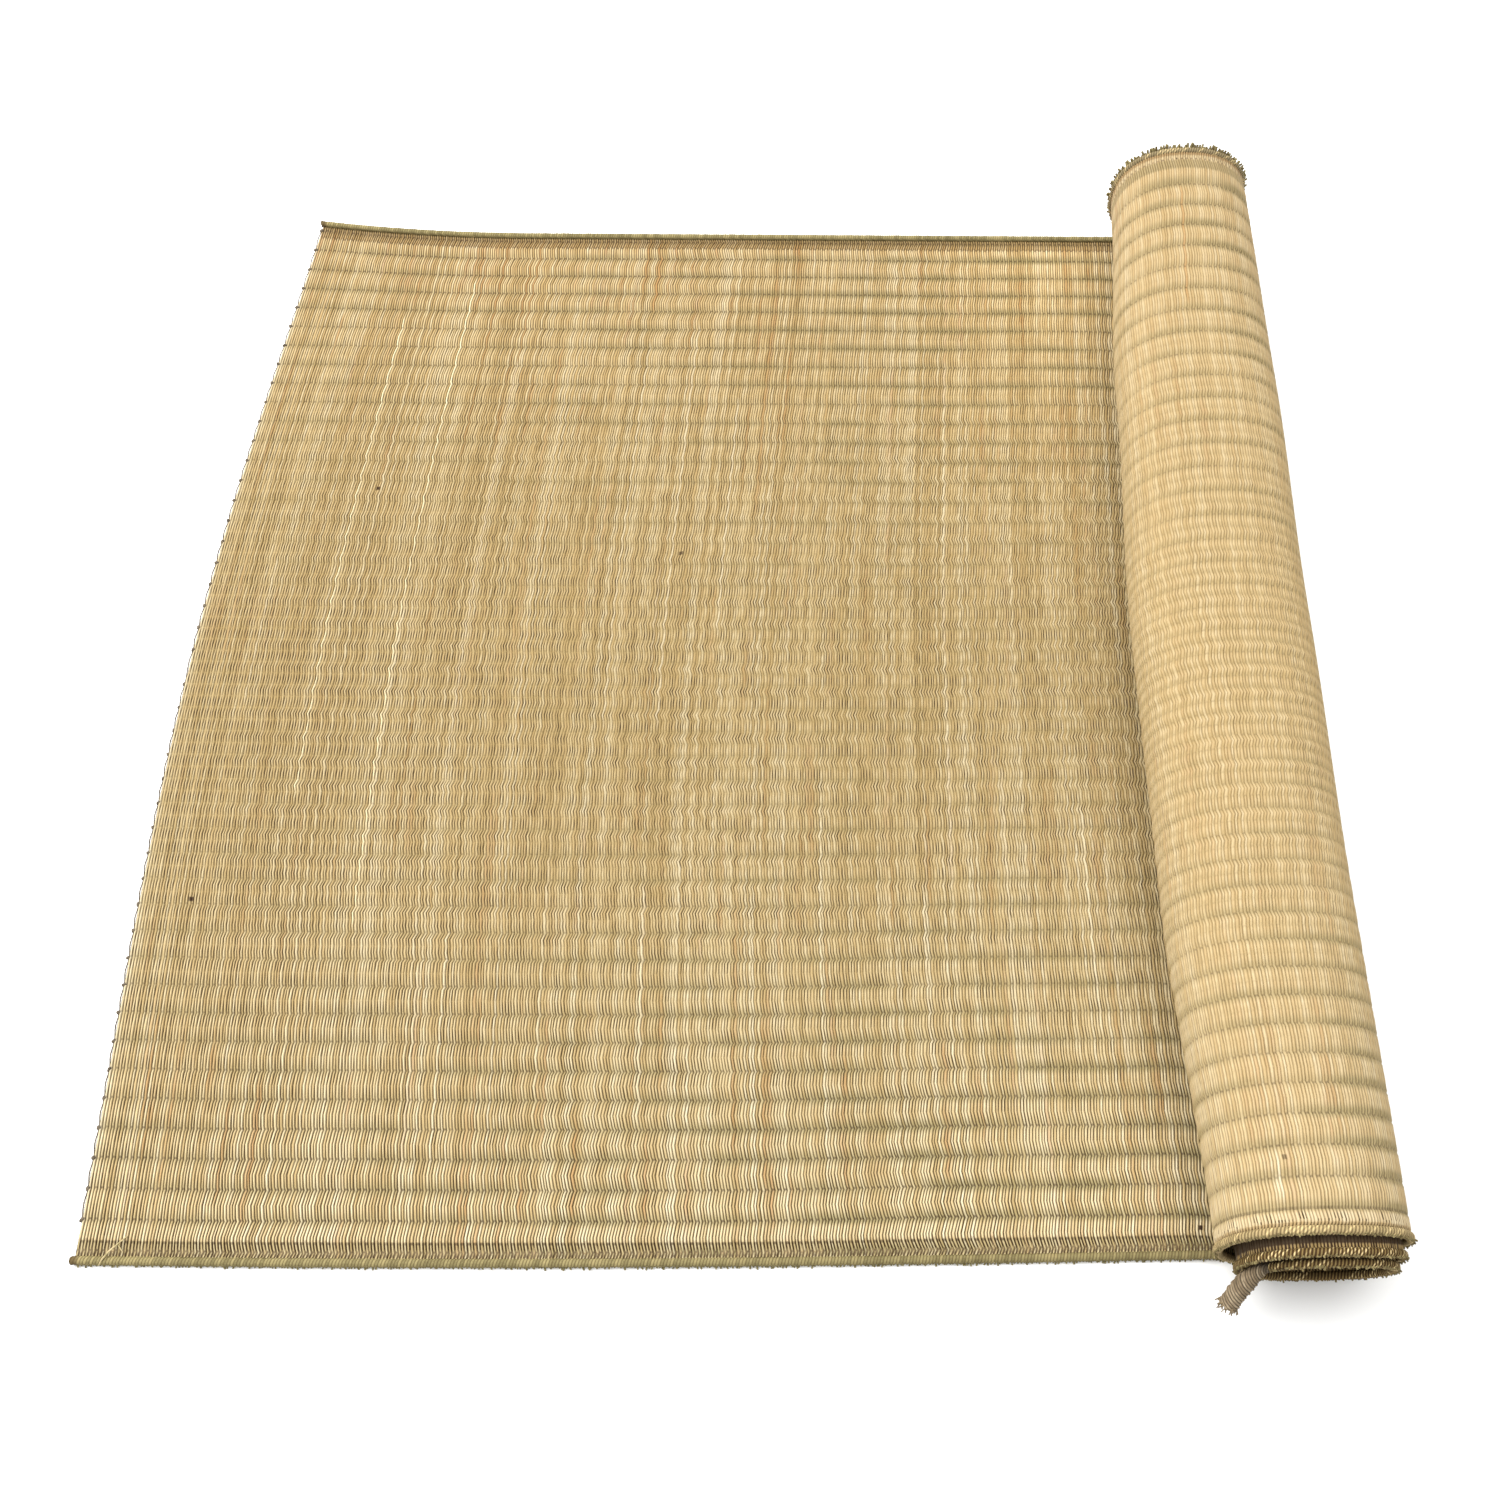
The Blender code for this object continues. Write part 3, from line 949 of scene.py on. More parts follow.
def tied_thread_tree():
    """A thin thread along an end of the mat, with a knot at every second point of its route."""
    graph, inputs = new_group("Tied end thread", {
        "Thread radius": "Float", "Knot radius": "Float", "Seed": "Int", "Material": "Material",
    })
    smooth = {"Curve": inputs["Geometry"]}
    route = graph.out("GeometryNodeCurveSplineType", smooth, spline_type="CATMULL_ROM")
    spaced = {"Curve": route, "Length": 0.002}
    fine = graph.out("GeometryNodeResampleCurve", spaced, mode="LENGTH")
    ring = {"Resolution": 5, "Radius": inputs["Thread radius"]}
    ring = graph.out("GeometryNodeCurvePrimitiveCircle", ring)
    thread = {"Curve": fine, "Profile Curve": ring, "Fill Caps": True}
    thread = graph.out("GeometryNodeCurveToMesh", thread)
    index = graph.out("GeometryNodeInputIndex")
    at_row = index.math("MODULO", 2).math("LESS_THAN", 0.5)
    ball = {"Radius": inputs["Knot radius"], "Subdivisions": 2}
    ball = graph.out("GeometryNodeMeshIcoSphere", ball)
    at = graph.out("GeometryNodeInputPosition")
    x, y, z = graph.parts(at)
    lump = graph.noise(x * 1500, y * 1500, z * 1500) - 0.35
    swollen = graph.scaled(graph.out("GeometryNodeInputNormal"), lump * inputs["Knot radius"])
    knot = graph.out("GeometryNodeSetPosition", {"Geometry": ball, "Offset": swollen})
    limits = {"Min": (-3.0,) * 3, "Max": (3.0,) * 3, "Seed": inputs["Seed"]}
    turned = graph.out("FunctionNodeRandomValue", limits, data_type="FLOAT_VECTOR")
    tied = {"Points": inputs["Geometry"], "Selection": at_row, "Instance": knot,
            "Rotation": turned, "Scale": (1.0, 1.25, 0.85)}
    knots = graph.out("GeometryNodeInstanceOnPoints", tied)
    joined = graph.add("GeometryNodeJoinGeometry", {0: thread})
    graph.tree.links.new(knots.socket, joined.inputs[0])
    real = graph.out("GeometryNodeRealizeInstances", {"Geometry": Value(graph, joined.outputs[0])})
    even = graph.out("GeometryNodeSetShadeSmooth", {"Geometry": kept_above_floor(graph, real)})
    close_group(graph, even, inputs["Material"])
    return graph.tree


def new_material(name):
    """A material with an empty node tree, its Principled shader and its graph."""
    material = bpy.data.materials.new(name)
    material.use_nodes = True
    graph = Graph(material.node_tree)
    shader = graph.add("ShaderNodeBsdfPrincipled")
    graph.add("ShaderNodeOutputMaterial", {"Surface": Value(graph, shader.outputs[0])})
    return material, graph, shader


def mixed(graph, factor, a, b, blend="MIX"):
    """The first colour with a share of the second laid over it."""
    inputs = {0: factor, 6: a, 7: b}
    return graph.out("ShaderNodeMix", inputs, data_type="RGBA", blend_type=blend)


def ramp(graph, value, stops):
    """A colour for each value, read between the stops, which pair a place with a colour."""
    node = graph.add("ShaderNodeValToRGB", {0: value})
    elements = node.color_ramp.elements
    while len(elements) < len(stops):
        elements.new(1.0)
    for element, (place, colour) in zip(elements, stops):
        element.position = place
        element.color = (*colour, 1.0)
    return Value(graph, node.outputs[0])


def opaque(colour):
    """The colour with a full fourth number, as a colour socket takes it."""
    return (*colour, 1.0)


def bump(graph, height, strength, distance):
    """Normals for a fine relief that is a distance deep."""
    inputs = {"Strength": strength, "Distance": distance, "Height": height}
    return graph.out("ShaderNodeBump", inputs)


def read_attributes(graph, *names):
    """What a material reads from the mesh, by name."""
    return [graph.out("ShaderNodeAttribute", output="Fac", attribute_name=name) for name in names]


class StemPaint:
    """The stems' colour as it is laid on coat by coat, and the places that the coats go by."""

    def __init__(self, graph, colours):
        self.graph = graph
        self.colours = colours
        self.stem, self.row, self.side = read_attributes(graph, "stem", "row", "side")
        self.weave = WeaveFields(self.stem, self.row, self.side)
        self.under = 0.5 - self.side * 0.5
        self.own = graph.chance(self.weave.index + 5.0)
        self.left = 1 - self.stem_band("left")
        # The roll's right flank, on the underside, which gets painted shade.
        self.shaded_right_flank = self.under * (1 - self.stem_band("shaded_right_flank"))
        self.first_band = self.row_band("first_band") * (1 - self.row_band("first_band_end"))
        self.colour = None

    def row_band(self, name):
        """Rises from 0 to 1 over a band of rows."""
        return self.row.ease(*ROW_BANDS[name])

    def stem_band(self, name):
        """Rises from 0 to 1 over a band of stems."""
        return self.stem.ease(*STEM_BANDS[name])

    def coat(self, share, name, blend="MIX"):
        """Lays a share of one of the mat's colours over the colour so far."""
        tint = opaque(getattr(self.colours, name))
        self.colour = mixed(self.graph, share, self.colour, tint, blend)


def paint_stems(paint):
    """Each stem's own straw tone, with some that are rusty or bleached for part of their length."""
    graph, weave, colours = paint.graph, paint.weave, paint.colours
    stem, row, side = paint.stem, paint.row, paint.side
    cluster = graph.noise(stem * 0.06, row * 0.04, side * 7, detail=2.0)
    lengthwise = graph.noise(weave.index * 7.3, row * 0.35, side * 5, detail=2.0)
    clump = graph.noise(stem * 0.28, row * 1.1, side * 3 + 1.0, detail=2.0)
    tone = paint.own * 0.36 + cluster * 0.40 + lengthwise * 0.40 + clump * 0.44 - 0.28
    paint.colour = ramp(graph, tone, [
        (0.12, colours.shade), (0.36, colours.straw), (0.58, colours.pale), (0.86, colours.cream)])
    rusty = graph.noise(weave.index * 0.3, row * 0.11, side + 2.0).ease(0.60, 0.70)
    rusty = rusty * graph.noise(weave.index * 3.1, row * 0.3, 2.0).ease(0.38, 0.55)
    lone = graph.chance(weave.index + 71.0).ease(0.93, 0.97)
    lone = lone * graph.noise(weave.index * 5.7, row * 0.14, 9.0).ease(0.46, 0.60)
    rusty = rusty.math("MAXIMUM", lone) * (1 - weave.middle * 0.5)
    paint.coat(rusty * 0.6, "rust")
    streak = graph.chance(weave.index + 31.0).ease(0.92, 0.99)
    streak = streak * graph.noise(weave.index * 2.3, row * 0.1, 5.0).ease(0.42, 0.60)
    paint.coat(streak * 0.7, "cream")


def paint_rows(paint):
    """Olive tint, which also stands in for shade, beside the binding rows and along both edges, with
    the first band left paler.
    """
    weave, under = paint.weave, paint.under
    beside_row = weave.by_zone(
        lambda p, span: (1 - p.ease(0.05, 0.42)) + p.ease(0.70, 0.97), under * 0.08 + 0.25)
    patch = paint.graph.noise(paint.stem * 0.035, paint.row * 0.5, paint.side + 4.0)
    patch = patch.ease(0.28, 0.66) * 0.6 + 0.4
    # More of it towards the right of the flat, at the roll's foot and on the roll's right flank,
    # where the painted shade is deeper.
    banded = paint.stem_band("greener") * 0.30 + paint.stem_band("roll_foot") * 0.15
    banded = banded + paint.shaded_right_flank * 0.5 + 0.5
    olive_and_shade = beside_row * patch * banded + weave.middle * 0.28
    olive_and_shade = olive_and_shade * (1 - paint.first_band * 0.8)
    past_last = under * paint.row_band("past_last")
    last_band = past_last * (1 - paint.row_band("last_band_end"))
    olive_and_shade = (olive_and_shade * (1 - past_last)).math("MAXIMUM", last_band * 0.75)
    along_edge = weave.selvedge * (1 - under * (weave.far * 0.5 + 0.4))
    olive_and_shade = olive_and_shade.math("MAXIMUM", along_edge * 0.46)
    paint.coat(paint.first_band * (under * 0.25 + 0.1), "cream")
    paint.coat(olive_and_shade, "olive_shade")
    gilt = weave.selvedge * (weave.near * under * 0.22 + weave.far * (1 - under) * 0.25)
    paint.coat(gilt, "rust")


def paint_far_rim(paint):
    """Beyond the last row: a pale strip and a brown seam on the roll, a dark hem on the flat."""
    under = paint.under
    paint.coat(under * paint.row_band("rim_strip") * 0.30, "cream")
    paint.coat(under * paint.row_band("seam") * 0.9, "umber")
    paint.coat(paint.row_band("far_hem") * (1 - under) * 0.30, "edge_dark")


def paint_age(paint):
    """The stems are riper away from the near edge and peach on the underside, with painted shade and
    painted light laid over them.
    """
    weave, under = paint.weave, paint.under
    paint.coat((1 - weave.near) * (1 - under * 0.15), "ripe", "MULTIPLY")
    paint.coat(under * 0.35, "peach")
    away = (1 - weave.near).math("POWER", 0.7)
    right = paint.stem_band("right") * (1 - under)
    # Painted shade away from the near edge, and on the underside.
    painted_shading = away * (0.16 - weave.far * 0.03) * (1 - under)
    painted_shading = painted_shading + (away * 0.07 + weave.far * 0.11 + 0.04) * under
    # Painted light on the flat's left.
    painted_shading = painted_shading - paint.left * (1 - under) * 0.07
    # Painted shade on the roll's right flank, towards the near edge.
    painted_shading = painted_shading + paint.shaded_right_flank * weave.near * 0.08
    # Painted light on the flat beside the roll, where the roll keeps light off.
    painted_shading = painted_shading - right * (weave.far * 0.18 + weave.near * 0.07)
    painted_shading = painted_shading - weave.near * (1 - under) * 0.03
    paint.colour = paint.graph.scaled(paint.colour, 1 - painted_shading)


def paint_marked_stems(paint):
    """The single stems that stand out, each between two rows."""
    for mark in MARKED_STEMS:
        start, end = mark["from_row"], mark["to_row"]
        along_it = paint.row.ease(start, start + MARK_FADE)
        along_it = along_it * (1 - paint.row.ease(end - MARK_FADE, end))
        on_it = (paint.weave.index - mark["stem"]).math("ABSOLUTE").math("LESS_THAN", 0.5)
        paint.coat(along_it * (on_it * mark["share"]), mark["colour"])


def paint_gap_shade(paint):
    """Painted shade in the gaps between the stems, deeper along both edges. In the middle of the mat
    the rows pinch the gaps shut.
    """
    graph, weave, under, left = paint.graph, paint.weave, paint.under, paint.left
    # Painted shade where a stem dives under a thread, in the middle of the mat.
    dive = 0.5 - (weave.row * (2 * pi)).math("COSINE") * (0.5 - weave.odd)
    paint.coat(dive.ease(0.55, 1.0) * weave.middle * 0.5, "shade")
    closed = weave.middle * (1 - (weave.past_any_row * pi).math("SINE").math("POWER", 0.6))
    from_ridge = (weave.within - 0.5).math("ABSOLUTE") * 2
    gap = from_ridge.ease(0.28 - left * 0.10, 0.80 - left * 0.06) * (1 - closed)
    deep = graph.chance(weave.index + (weave.row * 2).math("FLOOR") * 37.0)
    deep = deep.ease(0.5 - weave.middle * 0.2, 1 - weave.middle * 0.2)
    least = 0.83 - weave.middle * 0.10 - (1 - left) * weave.middle * 0.37
    # Less painted gap shade on the roll's crown, which faces the light.
    crown = under * paint.stem_band("crown") * (1 - paint.stem_band("crown_end"))
    strength = (deep * (1 - least) + least) * (1 - under * (0.48 - weave.near * 0.14))
    strength = strength * (1 - crown * (0.25 + weave.far * 0.15))
    strength = strength + paint.first_band * under * deep * 0.8
    strength = strength * (1 - weave.far * 0.22)
    paint.coat(gap * strength, "gap")
    # Deeper painted shade between the stems along both edges, in the hole colour.
    deeper = from_ridge.ease(0.26, 0.66) * weave.selvedge
    paint.coat(deeper * (1 - weave.far * 0.5) * (1 - under * 0.6) * 0.80, "hole_shade")


def paint_hole_shade(paint):
    """Painted shade in the holes where the rows' threads dive between the stems, ragged from one
    stem to the next.
    """
    weave, under = paint.weave, paint.under
    ragged = weave.index * 1.9 + (weave.row * 2 + 0.5).math("FLOOR") * 53.0
    ragged = paint.graph.chance(ragged)
    crossed = WeaveFields(paint.stem, paint.row + (weave.odd - 0.5) * 0.06, paint.side)
    hole_shade = crossed.at_row(0.07, under * 0.1 + 0.3) * (weave.odd_here * 0.5 + ragged * 0.4)
    hole_shade = hole_shade * (1 - under * 0.2)
    first_row = under * (1 - paint.row.math("ABSOLUTE").ease(0.02, 0.09))
    hole_shade = hole_shade.math("MAXIMUM", first_row * (ragged * 0.3 + 0.25))
    for line in (NEAR_TWINE, NEAR_SELVEDGE, FAR_SELVEDGE):
        stitch = 1 - (crossed.row - line).math("ABSOLUTE").ease(0.02, 0.07)
        stitch = stitch * (weave.odd * 0.4 + ragged * 0.4) * (1 - under * 0.8)
        hole_shade = hole_shade.math("MAXIMUM", stitch)
    paint.coat(hole_shade * 0.85, "hole_shade")


def paint_specks(paint):
    """The few dark specks."""
    for speck in DARK_SPECKS:
        on_it = 1 - (paint.stem - speck["stem"]).math("ABSOLUTE").ease(0.4, 1.1)
        on_it = on_it * (1 - (paint.row - speck["row"]).math("ABSOLUTE").ease(0.05, 0.11))
        paint.coat(on_it * speck["share"], "hole_shade")


def paint_inner_turns(paint):
    """The roll's inner turns get painted shade, deepest near their edge, where the hem is golden
    instead.
    """
    inner = paint.stem_band("inner_turns")
    by_hem = (1 - paint.row_band("golden_hem")) * paint.under
    paint.coat(inner * by_hem * 0.6, "gold")
    inner_shade = (1 - paint.row_band("inner_shade")) * 0.45 + 0.46
    # Painted shade over the inner turns, away from their golden hem.
    paint.coat(inner * inner_shade * (1 - by_hem), "hole_shade")


def grass_material(colours):
    """Dried stems: each its own straw tone, olive tint and painted shade beside the rows, painted
    shade in the gaps and holes.
    """
    material, graph, shader = new_material("dried_grass")
    paint = StemPaint(graph, colours)
    paint_stems(paint)
    paint_rows(paint)
    paint_far_rim(paint)
    paint_age(paint)
    paint_marked_stems(paint)
    paint_gap_shade(paint)
    paint_hole_shade(paint)
    paint_specks(paint)
    paint_inner_turns(paint)
    graph.feed(shader.inputs["Base Color"], paint.colour)
    fibre = graph.noise(paint.stem * 7, paint.row * 1.1, paint.side * 3, detail=3.0)
    graph.feed(shader.inputs["Roughness"], paint.own * 0.15 + 0.48)
    shader.inputs["Specular IOR Level"].default_value = 0.15
    graph.feed(shader.inputs["Normal"], bump(graph, fibre, 0.35, 0.0004))
    return material


def wrap_material(name, tones, gap_shade_colour, pitch, slant, roughness, rolled=None):
    """Grass or thread wrapped round a cord: each wrap its own tone, with painted shade in the lines
    between.

    Where rolled gives colours, the part of the cord in the roll takes them: the wraps of its
    outermost turn, a darker copy as painted shade for those further in, their flecks, and the
    painted shade in their gaps.
    """
    material, graph, shader = new_material(name)
    along, around = read_attributes(graph, "along", "around")
    turn = along / pitch + around * slant
    own = graph.chance(turn.math("FLOOR") + 11.0)
    drift = graph.noise(along * 14, around * 2, 1.0, detail=2.0)
    fine = graph.noise(turn * 2.5, around * 14, 6.0, detail=2.0)
    colour = ramp(graph, own * 0.25 + drift * 0.4 + fine * 0.45 - 0.05, tones)
    edge = (turn.math("FRACT") - 0.5).math("ABSOLUTE") * 2
    if rolled:
        in_roll = along.ease(FLAT_LENGTH, FLAT_LENGTH + 0.1)
        inner = along.ease(OUTER_TURN_END - 0.04, OUTER_TURN_END + 0.02)
        middle = along.ease(0.35, 0.6) * (1 - in_roll) * rolled["dull"]
        colour = mixed(graph, middle, colour, opaque(tones[0][1]))
        # Further in, the wraps take a darker copy of their colour as painted shade.
        wraps = mixed(graph, inner, opaque(rolled["outer"]), opaque(rolled["inner"]))
        colour = mixed(graph, in_roll * (own * 0.3 + 0.65), colour, wraps)
        twist = along / pitch * 0.6 + around * 6
        strand = graph.chance(twist.math("FLOOR") + 29.0).ease(0.45, 0.75)
        fleck = strand * (1 - ((twist.math("FRACT") - 0.5).math("ABSOLUTE") * 2).ease(0.3, 0.8))
        fleck = fleck * in_roll * (inner * 0.3 + 0.6)
        colour = mixed(graph, fleck, colour, opaque(rolled["flecks"]))
        # Painted shade in the lines between the wraps, on the flat part.
        gap = edge.ease(0.35, 0.95) * (1 - in_roll) * 0.7
        colour = mixed(graph, gap, colour, opaque(gap_shade_colour))
        # In the roll, painted shade between the wraps, deeper on the turns further in.
        gap = edge.ease(0.25 - inner * 0.1, 0.8 - inner * 0.15) * in_roll * (inner * 0.3 + 0.65)
        colour = mixed(graph, gap, colour, opaque(rolled["shaded_gaps"]))
    else:
        # Painted shade in the lines between the wraps.
        colour = mixed(graph, edge.ease(0.4, 0.95) * 0.85, colour, opaque(gap_shade_colour))
    corner = (1 - along.ease(0.004, 0.009)) * 0.8
    colour = mixed(graph, corner, colour, opaque(gap_shade_colour))
    graph.feed(shader.inputs["Base Color"], colour)
    shader.inputs["Roughness"].default_value = roughness
    shader.inputs["Specular IOR Level"].default_value = 0.08
    graph.feed(shader.inputs["Normal"], bump(graph, fine, 0.4, 0.0003))
    return material


def fibre_material(name, dark, light, roughness):
    """Short fibres and stem ends: brownish, uneven from one to the next and along each."""
    material, graph, shader = new_material(name)
    place = graph.out("ShaderNodeTexCoord", output="Object")
    x, y, z = graph.parts(place)
    broad = graph.noise(x * 220, y * 220, z * 220, detail=2.0)
    fine = graph.noise(x * 1500, y * 700, z * 1500, detail=2.0)
    colour = ramp(graph, broad * 0.7 + fine * 0.4 - 0.05, [(0.3, dark), (0.7, light)])
    graph.feed(shader.inputs["Base Color"], colour)
    shader.inputs["Roughness"].default_value = roughness
    shader.inputs["Specular IOR Level"].default_value = 0.1
    graph.feed(shader.inputs["Normal"], bump(graph, fine, 0.3, 0.0003))
    return material


def colour_property(name, description, value):
    """A colour that the user may change."""
    return FloatVectorProperty(
        name=name, description=description, subtype="COLOR", min=0.0, max=1.0, default=value)


def length_property(name, description, value, least=0.0):
    """A size in metres that the user may change."""
    return FloatProperty(
        name=name, description=description, default=value, min=least, unit="LENGTH")


class GrassMatSizes(bpy.types.PropertyGroup):
    """Sizes of the stems, wraps and threads."""

    stem_depth: length_property(
        "Stem depth", "How far a stem stands over the gap beside it", 0.0013)
    row_dip: length_property(
        "Row dip", "How far the binding rows draw the stems down", 0.0007)
    row_notch: length_property(
        "Row notch", "Depth of the holes where a thread crosses a stem", 0.0009)
    over_under: length_property(
        "Over and under", "Rise and fall of a stem over the threads", 0.0006)
    bow: length_property("Bow", "Most sideways bow of the stems between two rows", 0.0038)
    lean: length_property("Lean", "Most sideways lean of the stems between two rows", 0.0007)
    uneven: length_property(
        "Uneven", "Difference in width from one stem to the next", 0.0008)
    seed: IntProperty(name="Seed", description="Which random mat is woven", default=7, min=0)
    edge_wrap_depth: length_property(
        "Edge wrap depth", "How deep the lines between the edge's wraps are", 0.0009)
    tail_wrap_pitch: length_property(
        "Tail wrap pitch", "Distance between turns of the loose end's thread", 0.0027, 0.001)
    end_scale: FloatProperty(
        name="Cut end scale", description="Scale of the stem ends that stick out of the edges",
        default=1.0, min=0.0)
    thread_radius: length_property(
        "Thread radius", "Radius of the thread that ties the mat's ends", 0.0006, 0.0001)
    knot_radius: length_property(
        "Knot radius", "Radius of the knot at each row's end", 0.0020, 0.0001)


class GrassMatColours(bpy.types.PropertyGroup):
    """Colours of the grass, its shadows and its threads."""

    # Shade is the dull stems' own tone, also laid as painted shade where a stem dives under a
    # thread.
    shade: colour_property("Shade", "Dull stems", (0.30, 0.21, 0.085))
    straw: colour_property("Straw", "Most stems", (0.46, 0.335, 0.156))
    pale: colour_property("Pale straw", "Brighter stems", (0.57, 0.455, 0.255))
    cream: colour_property("Cream", "The brightest stems", (0.66, 0.58, 0.40))
    bleached: colour_property("Bleached", "The palest long streaks", (0.82, 0.70, 0.44))
    rust: colour_property("Rust", "The few orange brown stems", (0.38, 0.19, 0.06))
    # Olive is the stems' tint beside the rows, and also stands in for the shade there.
    olive_shade: colour_property("Olive", "Stems beside the binding rows", (0.21, 0.18, 0.075))
    peach: colour_property("Peach", "Tint of the underside", (0.56, 0.405, 0.215))
    ripe: colour_property("Ripe", "Tint of the stems away from the viewer", (1.0, 0.935, 0.85))
    gap: colour_property("Gap", "Shadow between two stems", (0.078, 0.050, 0.022))
    # Painted shade in holes and deep gaps, between the roll's wraps and over its inner turns.
    hole_shade: colour_property("Hole", "Where a thread dives between stems", (0.04, 0.02, 0.008))
    edge_dark: colour_property("Edge shade", "Darker wraps of the edges", (0.12, 0.10, 0.042))
    edge_light: colour_property("Edge grass", "Lighter wraps of the edges", (0.30, 0.25, 0.115))
    umber: colour_property("Umber", "Line beside the far edge in the roll", (0.24, 0.14, 0.045))
    gold: colour_property("Gold", "Inner turns beside their edge", (0.32, 0.21, 0.07))
    rolled_near: colour_property("Rolled near edge", "Its outermost turn", (0.41, 0.305, 0.15))
    # Painted shade: a darker copy of the near edge's wraps, for the roll's inner turns.
    rolled_inner_shaded: colour_property("Inner near edge", "Its inner turns", (0.20, 0.13, 0.045))
    fleck: colour_property("Fleck", "Bright flecks of the rolled edges", (0.74, 0.57, 0.28))
    rolled_far: colour_property("Rolled far edge", "Its turns", (0.26, 0.205, 0.115))
    thread_dark: colour_property(
        "Thread shade", "Darker end thread and knots", (0.05, 0.038, 0.026))
    thread_light: colour_property("Thread", "Lighter end thread", (0.19, 0.155, 0.11))
    fibre_dark: colour_property("Fibre shade", "Darker thread and fibres", (0.08, 0.06, 0.036))
    fibre_light: colour_property("Fibre", "Lighter thread and fibres", (0.30, 0.225, 0.13))
    thread_worn: colour_property("Worn thread", "Thread of the loose end", (0.215, 0.16, 0.098))
    fibre_worn: colour_property(
        "Worn fibre", "The palest thread of the loose end", (0.46, 0.375, 0.255))


class GrassMatStage(bpy.types.PropertyGroup):
    """Floor and light."""

    floor_colour: colour_property("Floor", "Colour of the floor", (0.92, 0.92, 0.91))
    key_power: FloatProperty(
        name="Key light", description="Power of the soft light to the left of the mat",
        default=200.0, min=0.0, unit="POWER")
    top_power: FloatProperty(
        name="Top light", description="Power of the broad light over the mat",
        default=140.0, min=0.0, unit="POWER")
    sky: FloatProperty(
        name="Sky", description="Brightness of the light from all round", default=0.64, min=0.0)


class GRASSMAT_OT_weave_sheet(bpy.types.Operator):
    """Weave the sheet of stems and lay it on the mat's folds"""

    bl_idname = "grass_mat.weave_sheet"
    bl_label = "Weave the sheet"

    def execute(self, context):
        sizes = context.scene.grass_mat_sizes
        material = grass_material(context.scene.grass_mat_colours)
        guide = build_guide()
        tree = laid_weave_tree()
        inputs = {
            "Guide": guide, "Stem depth": sizes.stem_depth, "Row dip": sizes.row_dip,
            "Row notch": sizes.row_notch, "Over and under": sizes.over_under, "Bow": sizes.bow,
            "Lean": sizes.lean, "Uneven": sizes.uneven, "Seed": float(sizes.seed),
            "Material": material,
        }
        for row in SHEET_PIECES:
            slab = woven_slab(row["name"], row["first"], row["last"], row["shows"])
            piece = run_group(slab, tree, inputs)
            piece.data.set_sharp_from_angle(angle=radians(70))
            finish_piece(piece, "dried_grass", "mat_sheet")
        bpy.data.objects.remove(guide, do_unlink=True)
        return {"FINISHED"}


class GRASSMAT_OT_wrap_edges(bpy.types.Operator):
    """Wrap the cords of the two long edges in turned stem ends"""

    bl_idname = "grass_mat.wrap_edges"
    bl_label = "Wrap the edge cords"

    def execute(self, context):
        sizes = context.scene.grass_mat_sizes
        colours = context.scene.grass_mat_colours
        tones = [(0.25, colours.edge_dark), (0.6, colours.edge_light), (1.0, colours.straw)]
        tree = wrapped_cord_tree()
        for row in EDGE_CORDS:
            name = row["name"]
            rolled = {
                "outer": getattr(colours, row["outer"]), "inner": getattr(colours, row["inner"]),
                "dull": row["dull"], "flecks": colours.fleck, "shaded_gaps": colours.hole_shade,
            }
            material = wrap_material(
                name + "_grass", tones, colours.gap, STEM_PITCH, EDGE_SLANT, 0.75, rolled)
            points = edge_cord_points(row["across"])[0]
            outwards = (points[0] - points[1]).normalized()
            points = [points[0] + outwards * CORNER_KNOB] + points
            curve = curve_object(name + "_wraps", points, [CORD_RADIUS] * len(points))
            piece = run_group(curve, tree, {
                "Sides": 10, "Wrap pitch": STEM_PITCH, "Wrap depth": sizes.edge_wrap_depth,
                "Slant": EDGE_SLANT, "Uneven": 0.0004, "Steps a wrap": 3.0, "Seed": row["seed"],
                "Material": material,
            })
            finish_piece(piece, "edge_grass", name + "_cord")
        return {"FINISHED"}


class GRASSMAT_OT_fray_edges(bpy.types.Operator):
    """Set the cut stem ends that stick out of the two long edges"""

    bl_idname = "grass_mat.fray_edges"
    bl_label = "Fray the long edges"

    def execute(self, context):
        sizes = context.scene.grass_mat_sizes
        colours = context.scene.grass_mat_colours
        tree = frayed_ends_tree()
        for seed, row in enumerate(CUT_ENDS, start=21):
            name = row["run"] + "_cut_ends"
            route, normals = edge_cord_points(row["edge"])
            run = slice(FLAT_STEPS, None) if row["rolled"] else slice(0, FLAT_STEPS + 1)
            # In the roll the stubs' dark tone is painted shade, in the hole colour; on the flat it
            # is the edge's own darker tone.
            dark = colours.hole_shade if row["rolled"] else colours.edge_dark
            away = Vector((0, 2 * row["edge"] - 1, 0))
            points, leanings = [], []
            for place, normal in spread_along(route[run], normals[run], END_SPACING):
                points.append(place + (away * 0.55 - normal * 0.45) * CORD_RADIUS)
                leanings.append(away * 0.7 - normal * row["lean"])
            piece = run_group(point_mesh(name, points, leanings), tree, {
                "Length": row["reach"] * sizes.end_scale, "Thickness": row["thick"],
                "Scatter": 0.0007, "Splay": 0.45, "Sides": 4, "Seed": seed,
                "Material": fibre_material(name, dark, colours.edge_light, 0.85),
            })
            finish_piece(piece, "edge_grass")
        return {"FINISHED"}


